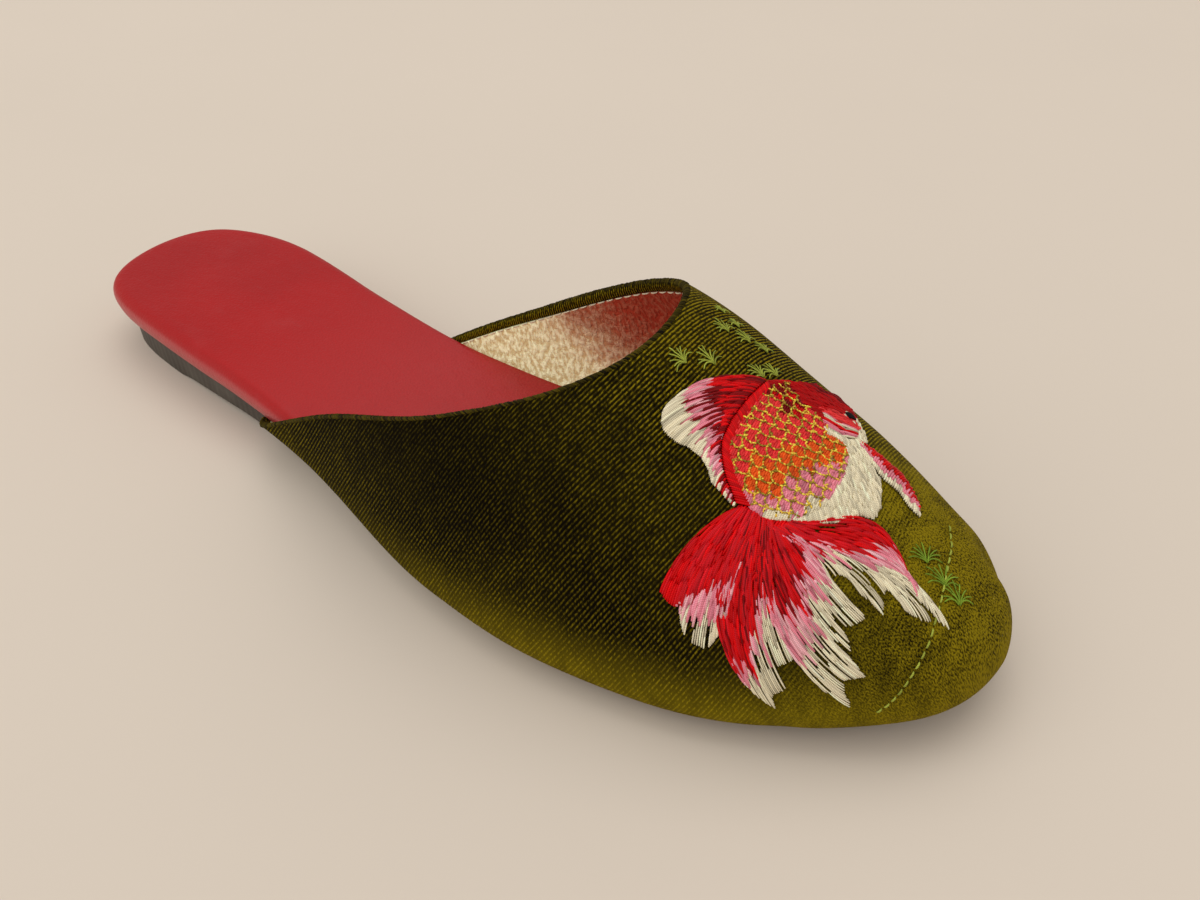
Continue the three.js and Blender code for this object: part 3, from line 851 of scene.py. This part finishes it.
def lining_finish(tints):
    """Crinkled gold foil leather: pale and patchy low down, mirror-like toward the throat, where a red-brown
    painted shade darkens it.
    A faint glow stands for the studio light that the pale foil throws back."""
    finish = Finish("gold_lining", specular_ior_level=.7, emission_strength=.27)
    where, a, _ = finish.chart()
    height = finish.part(finish.position(), 2)
    cells = finish.node("ShaderNodeTexVoronoi", {"Vector": where, "Scale": 62.0}, feature="DISTANCE_TO_EDGE")
    crease = cells.ramp(0.0, .2)
    grain = finish.noise(where, 110, 3)
    patch = finish.noise(where, 16, 3)
    worn = finish.noise(where, 1, 4, (104, 44, 1)).ramp(.38, .62)
    # Painted red-brown shade toward the throat and higher up the wall
    throat = (a + height * 1600 + patch * 20).ramp(163, 226)
    colour = finish.blend(tints.lining_deep, tints.lining, crease * .12 + worn * .88)
    colour = finish.blend(colour, tints.lining_throat, throat * (1.08 - worn * .22))
    finish.feed("Base Color", colour)
    finish.feed("Metallic", throat * .45)
    finish.feed("Emission Color", finish.blend(colour, (0, 0, 0), throat.ramp(0, .6)))
    finish.feed("Roughness", .3 + grain * .2 + (1 - crease) * .12)
    finish.bump(crease * .15 + grain * .5 + worn * .35 + patch, .0006, .8)
    return finish.material


def bed_finish(tints):
    """Red leather: fine pores and soft creases, deeper at the rolled edge, pink down the wall as a painted
    highlight, a painted pinkish reflection toward the front, and pale pink scuffs.
    """
    finish = Finish("red_leather", specular_ior_level=.26)
    where = finish.position()
    wall = finish.node("ShaderNodeVertexColor", layer_name="tone")
    wall = finish.node("ShaderNodeSeparateColor", {0: wall})
    pores = finish.node("ShaderNodeTexVoronoi", {"Vector": where, "Scale": 1500.0}, feature="F1")
    crease = finish.noise(where, 220, 4, (1, 2.2, 1), .5)
    cloud = finish.noise(where, 24, 3)
    scuff = finish.noise(where, 90, 4).ramp(.55, .8)
    top = finish.blend(tints.bed, tints.bed_deep, cloud.ramp(.35, .75) * .6)
    # Painted pinkish reflection toward the front of the bed
    painted_front_reflection = finish.part(where, 0).ramp(-.075, .0)
    top = finish.blend(top, tints.bed_wall_sheen_and_scuff, painted_front_reflection * (.24 + crease * .2))
    top = finish.blend(top, tints.bed_edge, wall.ramp(.01, .12))
    # Painted highlight: pink down the wall, below the rolled edge
    colour = finish.blend(top, tints.bed_wall_sheen_and_scuff, wall.ramp(.26, .5))
    colour = finish.blend(colour, tints.bed_wall_sheen_and_scuff, scuff * .12)
    finish.feed("Base Color", colour)
    finish.feed("Roughness", .42 + cloud * .12 + crease * .1 - wall.ramp(.1, .4) * .14)
    finish.bump(pores * .3 + crease * .9, .0003, .9)
    return finish.material


def rubber_finish(tints):
    """Matt dark rubber with a moulded grain and a pale dust on the edge."""
    finish = Finish("sole_rubber", specular_ior_level=.35)
    where = finish.position()
    grain = finish.noise(where, 900, 3)
    dust = finish.noise(where, 60, 4).ramp(.45, .8)
    finish.feed("Base Color", finish.blend(tints.rubber, tints.rubber_dust, dust * .5 + grain * .2))
    finish.feed("Roughness", .55 + dust * .25)
    inputs = {"Vector": where, "Scale": 130.0, "Distortion": .4}
    lines = finish.node("ShaderNodeTexWave", inputs, bands_direction="X")
    finish.bump(grain * .5 + lines * .5, .00025, .6)
    return finish.material


def thread_finish(name, roughness, metallic=0.0):
    """Twisted thread: the stitch's own tone, with painted shade in the twist's grooves."""
    finish = Finish(name, roughness=roughness, metallic=metallic, specular_ior_level=.12)
    colour = finish.node("ShaderNodeVertexColor", layer_name="tone")
    where = finish.node("ShaderNodeUVMap", uv_map="chart")
    run, turn = finish.part(where, 0), finish.part(where, 1)
    twist = (run * 20.0 + turn * (2 * math.pi)).math("SINE") * .5 + .5
    # Painted shade in the twist's grooves
    painted_groove_shade = finish.blend(colour, (.62, .58, .56), .8, "MULTIPLY")
    finish.feed("Base Color", finish.blend(painted_groove_shade, colour, twist.ramp(.0, .7)))
    finish.bump(twist, .00006, .5)
    return finish.material


def floor_finish(tints):
    """Plain pale paper with the faintest mottle."""
    finish = Finish("pale_floor", roughness=.9, specular_ior_level=.1)
    mottle = finish.noise(finish.position(), 7, 3)
    finish.feed("Base Color", finish.blend(tints.floor, tuple(c * .96 for c in tints.floor), mottle))
    return finish.material


# Sizes and colours a user may change

def shade_property(name, description, red, green, blue):
    """A colour property with its default given as a 0 to 255 shade."""
    return FloatVectorProperty(name=name, description=description, default=tone(red, green, blue),
                               subtype="COLOR", size=3, min=0, max=1)


def length_property(name, description, default):
    """A length property in metres."""
    return FloatProperty(name=name, description=description, default=default, unit="LENGTH", min=0,
                         precision=5)


def count_property(name, description, default):
    """A number of rows or columns."""
    return IntProperty(name=name, description=description, default=default, min=20)


class SlipperSizes(bpy.types.PropertyGroup):
    """Sizes of the dressed pieces."""
    velvet_wall: length_property("Velvet thickness", "Thickness of the velvet and its backing", .0011)
    fold_depth: length_property("Fold depth", "How far the velvet is folded inside the topline", .0024)
    roll_radius: length_property("Topline roll", "Radius of the velvet's rolled edge", .0009)
    stitch_length: length_property("Topline stitch", "Length of a stitch that holds the lining", .0022)
    thread_pitch: length_property("Thread pitch", "Distance from one satin thread to the next", .0004)
    vamp_rows: count_property("Vamp rows", "Rows of the velvet from topline to toe", 150)
    vamp_columns: count_property("Vamp columns", "Columns of the velvet across the foot", 190)


class SlipperTints(bpy.types.PropertyGroup):
    """Colours of the pieces and of the floor."""
    velvet: shade_property("Velvet", "Raised pile", 136, 118, 22)
    velvet_deep: shade_property("Velvet depth", "Between the ribs", 14, 9, 5)
    velvet_sheen: shade_property("Velvet sheen", "Pile seen at a grazing angle", 176, 156, 12)
    lining: shade_property("Lining", "Gold foil", 252, 254, 206)
    lining_deep: shade_property("Lining cracks", "Gold foil in its cracks", 206, 186, 130)
    lining_throat: shade_property("Lining throat", "Foil in the shade of the throat", 200, 88, 60)
    bed: shade_property("Bed", "Red leather on top", 168, 6, 12)
    bed_deep: shade_property("Bed patches", "Darker patches of the leather", 148, 6, 12)
    bed_edge: shade_property("Bed edge", "Rolled edge of the leather", 160, 0, 2)
    # Pink of the painted highlight down the bed's wall and of the painted reflection toward its front, also
    # the colour of the pale scuffs
    bed_wall_sheen_and_scuff: shade_property("Bed wall", "Leather down the side", 172, 70, 70)
    rubber: shade_property("Rubber", "Outsole", 62, 56, 50)
    rubber_dust: shade_property("Rubber dust", "Dust on the outsole", 104, 98, 88)
    red: shade_property("Red thread", "Fins and the body's edge", 216, 10, 18)
    ruby: shade_property("Ruby thread", "Head", 184, 4, 12)
    crimson: shade_property("Crimson thread", "Back and fin roots", 132, 0, 14)
    coral: shade_property("Coral thread", "Body", 240, 62, 62)
    orange: shade_property("Orange thread", "Body", 240, 94, 34)
    pink: shade_property("Pink thread", "Fins and belly", 240, 140, 156)
    pale: shade_property("Pale pink thread", "Among the pink", 246, 178, 184)
    scarlet: shade_property("Scarlet thread", "Tail root", 210, 26, 36)
    cream: shade_property("Cream thread", "Fin tips and belly", 242, 230, 196)
    gold: shade_property("Gold thread", "Scales", 234, 196, 70)
    leaf: shade_property("Leaf thread", "Sprigs and running stitch", 158, 168, 66)
    ink: shade_property("Black thread", "Eye", 14, 10, 10)
    floor: shade_property("Floor", "Paper under the slipper", 216, 203, 188)


class SLIPPER_OT_outsole(bpy.types.Operator):
    """Outsole of dark rubber, thick at the heel and thin under the toe"""
    bl_idname = "slipper.outsole"
    bl_label = "Outsole"

    def execute(self, context):
        inset = lambda more: (lambda share: SOLE_INSET * INSET(share) + more)
        above = lambda rise: (lambda x: sole_bottom(x) + rise)
        level = lambda k: (lambda x: sole_bottom(x) + (sole_top(x) - sole_bottom(x)) * k)
        # Rounded at the tread, upright, and a little rounded under the bed
        wall = [(inset(.6), sole_bottom), (inset(.18), above(.18)), (inset(0), above(.6)),
                (inset(0), level(.5)), (inset(0), level(.75)), (inset(.15), level(.97)),
                (inset(.3), sole_top)]
        flat = lambda v, share: 0 * v * share
        piece = sole_body("outsole_rubber", wall, sole_top, sole_bottom, 180, 14, flat, np.ones(len(wall)))
        place(piece, rubber_finish(context.scene.slipper_tints), "outsole_rubber", "outsole")
        return {"FINISHED"}


class SLIPPER_OT_bed(bpy.types.Operator):
    """Padded red leather footbed with a rolled edge"""
    bl_idname = "slipper.bed"
    bl_label = "Footbed"

    def execute(self, context):
        bottom = lambda x: sole_top(x) + SEAT_GAP
        thick = lambda x: BED_THICKNESS * PAD(np.clip(x / BED_LENGTH, 0, 1))
        # Share of the thickness and how far the outline is drawn in: upright, then a quarter round
        layers = [(0, .6), (.1, .15), (.25, 0), (.45, 0), (.58, 0)]
        layers += [(ROLL_START + (1 - ROLL_START) * math.sin(q), EDGE_ROUNDNESS * (1 - math.cos(q)))
                   for q in np.linspace(0, math.pi / 2, 12)]
        wall = []
        for share, drawn in layers:
            inset = lambda at, share=share, more=drawn: inner_tuck_at(share * BED_THICKNESS * PAD(at)) + more
            height = lambda x, share=share: bottom(x) + share * thick(x)
            wall.append((inset, height))
        shade = np.array([1, 1, 1, 1, .85, .7, .6, .5, .42, .34, .26, .18, .12, .08, .04, .02, 0])
        top = lambda x: bottom(x) + thick(x)
        # Padded all over, and a shallow cup for the heel
        swell = lambda v, at: (1 - v * v) * (.35 * (at > 0) - .5 * np.exp(-((at - .14) / .1)**2))
        piece = sole_body("footbed_leather", wall, top, bottom, 260, 60, swell, shade)
        place(piece, bed_finish(context.scene.slipper_tints), "footbed_leather", "footbed")
        return {"FINISHED"}


class SLIPPER_OT_upper(bpy.types.Operator):
    """Velvet upper, rolled over the topline and folded inside it"""
    bl_idname = "slipper.upper"
    bl_label = "Velvet upper"

    def execute(self, context):
        sizes = context.scene.slipper_sizes
        wall, fold, roll = sizes.velvet_wall * 1000, sizes.fold_depth * 1000, sizes.roll_radius * 1000
        # A half round over the edge, then the fold and its cut end
        rim = [(roll - roll * math.sin(q), roll - roll * math.cos(q)) for q in np.linspace(0, np.pi, 9)]
        rim += [(roll + (fold - roll) * .5, 2 * roll), (fold - .3, 2 * roll)]
        rim += [(fold, 2 * roll - .25), (fold + .1, wall)]
        piece = upper_shell("upper_velvet", 0.0, wall, rim, sizes.vamp_rows, sizes.vamp_columns)
        place(piece, velvet_finish(context.scene.slipper_tints), "upper_velvet", "upper")
        return {"FINISHED"}


# Depth of the lining's face under the velvet's, in mm
LINING_DEPTH = 1.85


class SLIPPER_OT_lining(bpy.types.Operator):
    """Gold lining glued inside the velvet, with its edge over the fold"""
    bl_idname = "slipper.lining"
    bl_label = "Lining"

    def execute(self, context):
        sizes = context.scene.slipper_sizes
        wall, fold = sizes.velvet_wall * 1000 + .06, sizes.fold_depth * 1000 + .3
        rim = [(fold, wall), (fold - .1, wall + .15)]
        rim += [(fold - .1, LINING_DEPTH), (fold + .25, LINING_DEPTH + .1)]
        piece = upper_shell("lining_gold", wall, LINING_DEPTH, rim, 90, 120, .045)
        place(piece, lining_finish(context.scene.slipper_tints), "lining_leather")
        return {"FINISHED"}


class SLIPPER_OT_topline(bpy.types.Operator):
    """Cream stitches that hold the lining along the topline"""
    bl_idname = "slipper.topline"
    bl_label = "Topline stitches"

    def execute(self, context):
        sizes, tints = context.scene.slipper_sizes, context.scene.slipper_tints
        size = sizes.stitch_length * 1000
        turn, station, run = beside_topline(.03, sizes.fold_depth * 1000 + 1.0)
        first = np.arange(.5, run[-1] - 3, size + .7)
        reach = first[:, None] + ALONG[None, :] * size
        turns, stations = np.interp(reach, run, turn), np.interp(reach, run, station)
        a = BED_LENGTH * share_at(stations)
        depth = LINING_DEPTH + np.array([-.07, .1, .19, .23, .19, .1, -.07])
        centre, normal = lifted(stations, turns, relief(a, girth_at(a, turns)) - depth)
        colour = np.repeat(np.array([tints.cream]), len(first), 0)
        piece = thread_mesh("topline_stitches", centre, -normal, .2, colour)
        place(piece, thread_finish("lining_thread", .5), "embroidery_thread")
        return {"FINISHED"}


class SLIPPER_OT_edge(bpy.types.Operator):
    """Tufts of pile that stand up along the topline, where the ribs end"""
    bl_idname = "slipper.edge"
    bl_label = "Pile edge"

    def execute(self, context):
        sizes, tints = context.scene.slipper_sizes, context.scene.slipper_tints
        rng = np.random.default_rng(71)
        roll = sizes.roll_radius * 1000
        reach = roll + .01
        turn, start, run = beside_topline(.02, 0)
        first = np.arange(.4, run[-1] - .4, .4)
        first = first + rng.uniform(-.12, .12, len(first))
        # Angle round the roll: below 0 the tuft lies flat on the velvet, past a quarter turn it is inside
        q = np.linspace(-.35, 2.2, len(ALONG))
        away = np.where(q > 0, roll - reach * np.sin(q), roll - reach * q)
        inward = roll - reach * np.cos(np.maximum(q, 0)) + np.array([.3, .06, 0, -.06, 0, .06, .3])
        inward = inward - rng.uniform(0, .16, (len(first), 1))
        slide = first[:, None] + (q - .8) * .3
        turns, base = np.interp(slide, run, turn), np.interp(slide, run, start)
        stations, ahead = toward_toe(base, turns, away)
        a = BED_LENGTH * share_at(stations)
        centre, normal = lifted(stations, turns, relief(a, girth_at(a, turns)) - inward)
        round_roll = np.maximum(q, 0)[:, None]
        up = normal * np.cos(round_roll) - ahead * np.sin(round_roll)
        shade = rng.uniform(.02, .34, (len(first), 1))
        colour = np.array([tints.velvet]) * shade + np.array([tints.velvet_deep]) * (1 - shade)
        piece = thread_mesh("pile_edge", centre, up, rng.uniform(.14, .25, len(first)), colour)
        place(piece, thread_finish("pile_edge", .9), "upper_velvet")
        return {"FINISHED"}


class SLIPPER_OT_fins(bpy.types.Operator):
    """Back fin and breast fin, in bands of crimson, red, pink and cream"""
    bl_idname = "slipper.fins"
    bl_label = "Fins"

    def execute(self, context):
        tint, pitch = context.scene.slipper_tints, context.scene.slipper_sizes.thread_pitch * 1000
        work = Work(11)
        work.fan(FIN_ROOT, FIN_RIM, [
            ([tint.crimson, tint.crimson, tint.red], [(0, .26), (.25, .18), (.5, .1), (.62, 0), (1, 0)]),
            ([tint.crimson, tint.red, tint.red], [(0, .56), (.3, .38), (.5, .22), (.65, .06), (1, .05)]),
            ([tint.pink, tint.pink, tint.pale], [(0, .86), (.3, .64), (.5, .6), (.75, .55), (1, .35)]),
            (tint.cream, WHOLE),
        ], pitch, bow=((0, 1.4), (.4, .8), (1, 0)), jitter=1.2)
        # Dark streaks over the back fin, in pairs
        tops, tips = evenly(FIN_ROOT, 101)[0], evenly(FIN_RIM, 101)[0]
        for s, low, high in STREAKS:
            for beside in (0, .012):
                top, tip = tops[int((s + beside) * 100)], tips[int((s + beside) * 100)]
                work.chain(lambda w: top + (tip - top) * w, low, high, tint.crimson, 9, .42, .2)
        work.fan(BREAST_ROOT, BREAST_RIM, [
            (tint.red, [(0, .45), (.4, .38), (.75, .35), (1, .2)]),
            (tint.pink, [(0, .9), (.4, .75), (.75, .7), (1, .6)]),
            (tint.cream, WHOLE),
        ], pitch, bow=((0, .5), (1, .3)), longest=3.5, jitter=.5)
        work.sew("goldfish_fins", "silk_fins", .42)
        return {"FINISHED"}


class SLIPPER_OT_body(bpy.types.Operator):
    """Body, head and belly in short satin"""
    bl_idname = "slipper.body"
    bl_label = "Body"

    def execute(self, context):
        tint, pitch = context.scene.slipper_tints, context.scene.slipper_sizes.thread_pitch * 1000
        work = Work(23)
        centres = scale_centres(np.random.default_rng(5))
        drift = np.random.default_rng(6).normal(0, 1.0, len(centres))

        def scale_tone(spot):
            k = np.argmin(((centres + ROW_ACROSS * .8 - spot)**2).sum(1))
            a, b = centres[k]
            ripe = a + .33 * b + max(b - 13.5, 0) * (1.6 if a > 200 else 0) + drift[k] * .8
            ripe = min(ripe, 212) if a < 205 else ripe
            if b < -3.2 and a < 201 or a + b < 190.5:
                return tint.crimson if drift[k] < .2 else tint.red
            if ripe < 204:
                return tint.coral
            if ripe < 209.2:
                return tint.orange
            return tint.pink if ripe < 213.2 else tint.cream

        work.fan(FIN_ROOT, BAND_INNER, [(tint.red, WHOLE)], pitch, longest=3)
        work.fill(BODY, 84, scale_tone, pitch * .95, 1.1, 2.2)
        back = lambda spot: spot[0] * .55 + spot[1] * .83 + work.rng.normal(0, 1.2)
        work.fill(HEAD, -32, lambda spot: tint.crimson if back(spot) < 95.5 else tint.ruby, pitch, longest=5)
        work.fill(CHEEK, -38, lambda spot: tint.coral, pitch, 1.5, 3)
        work.fill(FACE, 60, lambda spot: tint.cream, pitch, 1.2, 2.4)
        work.fill(BELLY, 42, lambda spot: tint.cream, pitch * .9, 1.2, 2.6)
        # Lines under the cheek
        shades = [tint.pink, *[tint.cream] * 2, *[tint.red] * 2, *[tint.pink] * 3, tint.cream]
        tops, tips = evenly(CHEEK_ROOT, len(shades))[0], evenly(CHEEK_RIM, len(shades))[0]
        for top, tip, colour in zip(tops, tips, shades):
            across = aside(tip - top) / np.linalg.norm(tip - top)
            bend = lambda w: top + (tip - top) * w + across * 4.4 * w * (1 - w)
            work.chain(bend, 0, 1, colour, 3, .42, .23)
        # The eye, with a few pale stitches round it
        for step in np.linspace(-.7, .7, 7):
            reach = 1.15 * math.sqrt(1 - step * step)
            middle = np.array(EYE) + np.array([.75, .65]) * step
            way = np.array([.65, -.75]) * reach
            work.add(middle - way, middle + way, tint.ink, .68, .24)
        for first, last in EYE_STITCHES:
            work.add(first, last, tint.cream, .5, .2)
        work.sew("goldfish_body", "silk_body", .48)
        return {"FINISHED"}


class SLIPPER_OT_scales(bpy.types.Operator):
    """Net of gold scales couched over the body"""
    bl_idname = "slipper.scales"
    bl_label = "Scales"

    def execute(self, context):
        tint = context.scene.slipper_tints
        work = Work(31)
        turn = np.linspace(-.05, np.pi + .05, 10)
        for centre in scale_centres(np.random.default_rng(5)):
            sway = work.rng.normal(0, .1, (len(turn), 2))
            arc = centre + 1.45 * np.cos(turn)[:, None] * ROW_WAY + 1.85 * np.sin(turn)[:, None] * ROW_ACROSS
            arc = arc + sway
            keep = inside(BODY, arc[:, 0], arc[:, 1])
            for k in range(len(turn) - 1):
                if keep[k] and keep[k + 1]:
                    # Painted highlights and shade on the cord: each segment at random bright or dark
                    shade = np.array(tint.gold) * (1.2 if work.rng.random() < .55 else .45)
                    slip = (arc[k + 1] - arc[k])[::-1] * (-.14, .14)
                    work.add(arc[k] - slip, arc[k + 1] + slip, np.clip(shade, 0, 1), .6, .17)
        work.sew("goldfish_scales", "gold_cord", .4, .2)
        return {"FINISHED"}


class SLIPPER_OT_tail(bpy.types.Operator):
    """Tail in four ragged lobes, red at the root, pink, and cream at the tips"""
    bl_idname = "slipper.tail"
    bl_label = "Tail"

    def execute(self, context):
        tint, pitch = context.scene.slipper_tints, context.scene.slipper_sizes.thread_pitch * 1000
        work = Work(47)
        light, dark = [tint.scarlet, tint.scarlet, tint.red], [tint.red, tint.red, tint.scarlet, tint.crimson]
        rosy = [tint.pink, tint.pink, tint.pale]
        work.fill(TAIL_ROOT, 96, lambda spot: tint.red, pitch, 2, 4, .12)
        for lobe in LOBES:
            red = dark if lobe["dark"] else light
            bands = [(red, lobe["red"]), (rosy, lobe["pink"]), (tint.cream, WHOLE)]
            work.fan(lobe["root"], lobe["rim"], bands, pitch, lobe["bow"], lobe["lean"], longest=4.2, thin=.62,
                     jitter=1.5, sparse=.78)
        work.sew("goldfish_tail", "silk_tail", .42)
        return {"FINISHED"}


class SLIPPER_OT_sprigs(bpy.types.Operator):
    """Leaf-green sprigs at the throat and toe, and the running stitch across the toe"""
    bl_idname = "slipper.sprigs"
    bl_label = "Sprigs"

    def execute(self, context):
        tint = context.scene.slipper_tints
        work = Work(59)
        for a, b, angle, size in SPRIGS:
            # Those at the toe are a deeper green
            leaf = np.array(tint.leaf) * ((.62, .85, .5) if a > 200 else 1)
            for part in np.linspace(-1, 1, 9):
                reach = size * work.rng.uniform(.85, 1.05) * (1 - .12 * abs(part))
                root = np.array([a, b]) + work.rng.uniform(-.2, .2, 2)
                out = heading(angle + 84 * part)
                blade = lambda w: root + reach * out * w - aside(out) * part * 2.6 * w * (1 - w)
                work.chain(blade, 0, 1, leaf, 2.4, .22, .14)
        spots, _ = evenly(TOE_LINE, 86)
        for k in range(0, 84, 4):
            work.add(spots[k], spots[min(k + 3, 85)], tint.leaf, .12, .2)
        work.sew("leaf_sprigs", "leaf_thread", .5)
        return {"FINISHED"}


CAMERA_PLACE = (.129784, -.130003, .15949)
CAMERA_YAW = 35.71
CAMERA_PITCH = 40.63
CAMERA_ROLL = .18
CAMERA_LENS = 29.94
FLOOR_HALF = 6.0
# Lamps: name, place and width in metres, power in watts
LAMPS = (("key", (-.45, 1.2, 4.2), 3.6, 53.0), ("fill", (-1.5, -3.0, 3.15), 5.4, 90.0))
WORLD_COLOUR = (1.0, .97, .93, 1)
WORLD_STRENGTH = .61


class SLIPPER_OT_stage(bpy.types.Operator):
    """Pale floor, soft lights and the camera"""
    bl_idname = "slipper.stage"
    bl_label = "Stage"

    def execute(self, context):
        mesh = bpy.data.meshes.new("floor")
        corners = [(x * FLOOR_HALF, y * FLOOR_HALF, 0) for x, y in ((-1, -1), (1, -1), (1, 1), (-1, 1))]
        mesh.from_pydata(corners, [], [(0, 1, 2, 3)])
        floor = bpy.data.objects.new("floor", mesh)
        context.scene.collection.objects.link(floor)
        mesh.materials.append(floor_finish(context.scene.slipper_tints))
        for name, spot, width, power in LAMPS:
            data = bpy.data.lights.new(name, "AREA")
            data.size, data.energy = width, power
            lamp = bpy.data.objects.new(name, data)
            context.scene.collection.objects.link(lamp)
            away = -np.array(spot) / np.linalg.norm(spot)
            yaw = math.atan2(-away[0], away[1])
            lamp.matrix_world = (Matrix.Translation(spot) @ Matrix.Rotation(yaw, 4, "Z")
                                 @ Matrix.Rotation(math.pi / 2 + math.asin(away[2]), 4, "X"))
        world = bpy.data.worlds.new("studio")
        world.use_nodes = True
        sky = world.node_tree.nodes["Background"].inputs
        sky["Color"].default_value, sky["Strength"].default_value = WORLD_COLOUR, WORLD_STRENGTH
        context.scene.world = world
        context.scene.view_settings.view_transform = "Standard"
        data = bpy.data.cameras.new("camera")
        data.sensor_width, data.lens, data.clip_start = 36, CAMERA_LENS, .005
        camera = bpy.data.objects.new("camera", data)
        context.scene.collection.objects.link(camera)
        camera.matrix_world = (Matrix.Translation(CAMERA_PLACE)
                               @ Matrix.Rotation(math.radians(CAMERA_YAW), 4, "Z")
                               @ Matrix.Rotation(math.radians(90 - CAMERA_PITCH), 4, "X")
                               @ Matrix.Rotation(math.radians(CAMERA_ROLL), 4, "Z"))
        context.scene.camera = camera
        return {"FINISHED"}


class SLIPPER_PT_panel(bpy.types.Panel):
    bl_label = "Babouche slipper"
    bl_idname = "SLIPPER_PT_panel"
    bl_space_type = "VIEW_3D"
    bl_region_type = "UI"
    bl_category = "Slipper"

    def draw(self, context):
        for group in (context.scene.slipper_sizes, context.scene.slipper_tints):
            for name in group.__annotations__:
                self.layout.prop(group, name)
        for step in STEPS:
            self.layout.operator(step.bl_idname)


STEPS = (SLIPPER_OT_stage, SLIPPER_OT_outsole, SLIPPER_OT_bed, SLIPPER_OT_upper, SLIPPER_OT_lining,
         SLIPPER_OT_topline, SLIPPER_OT_edge, SLIPPER_OT_fins, SLIPPER_OT_body, SLIPPER_OT_scales,
         SLIPPER_OT_tail, SLIPPER_OT_sprigs)
CLASSES = (SlipperSizes, SlipperTints, *STEPS, SLIPPER_PT_panel)


def register():
    for item in CLASSES:
        bpy.utils.register_class(item)
    bpy.types.Scene.slipper_sizes = PointerProperty(type=SlipperSizes)
    bpy.types.Scene.slipper_tints = PointerProperty(type=SlipperTints)


def unregister():
    del bpy.types.Scene.slipper_tints
    del bpy.types.Scene.slipper_sizes
    for item in reversed(CLASSES):
        bpy.utils.unregister_class(item)


def main():
    """Make every piece in order."""
    register()
    for step in STEPS:
        group, name = step.bl_idname.split(".")
        getattr(getattr(bpy.ops, group), name)()


if __name__ == "__main__":
    main()
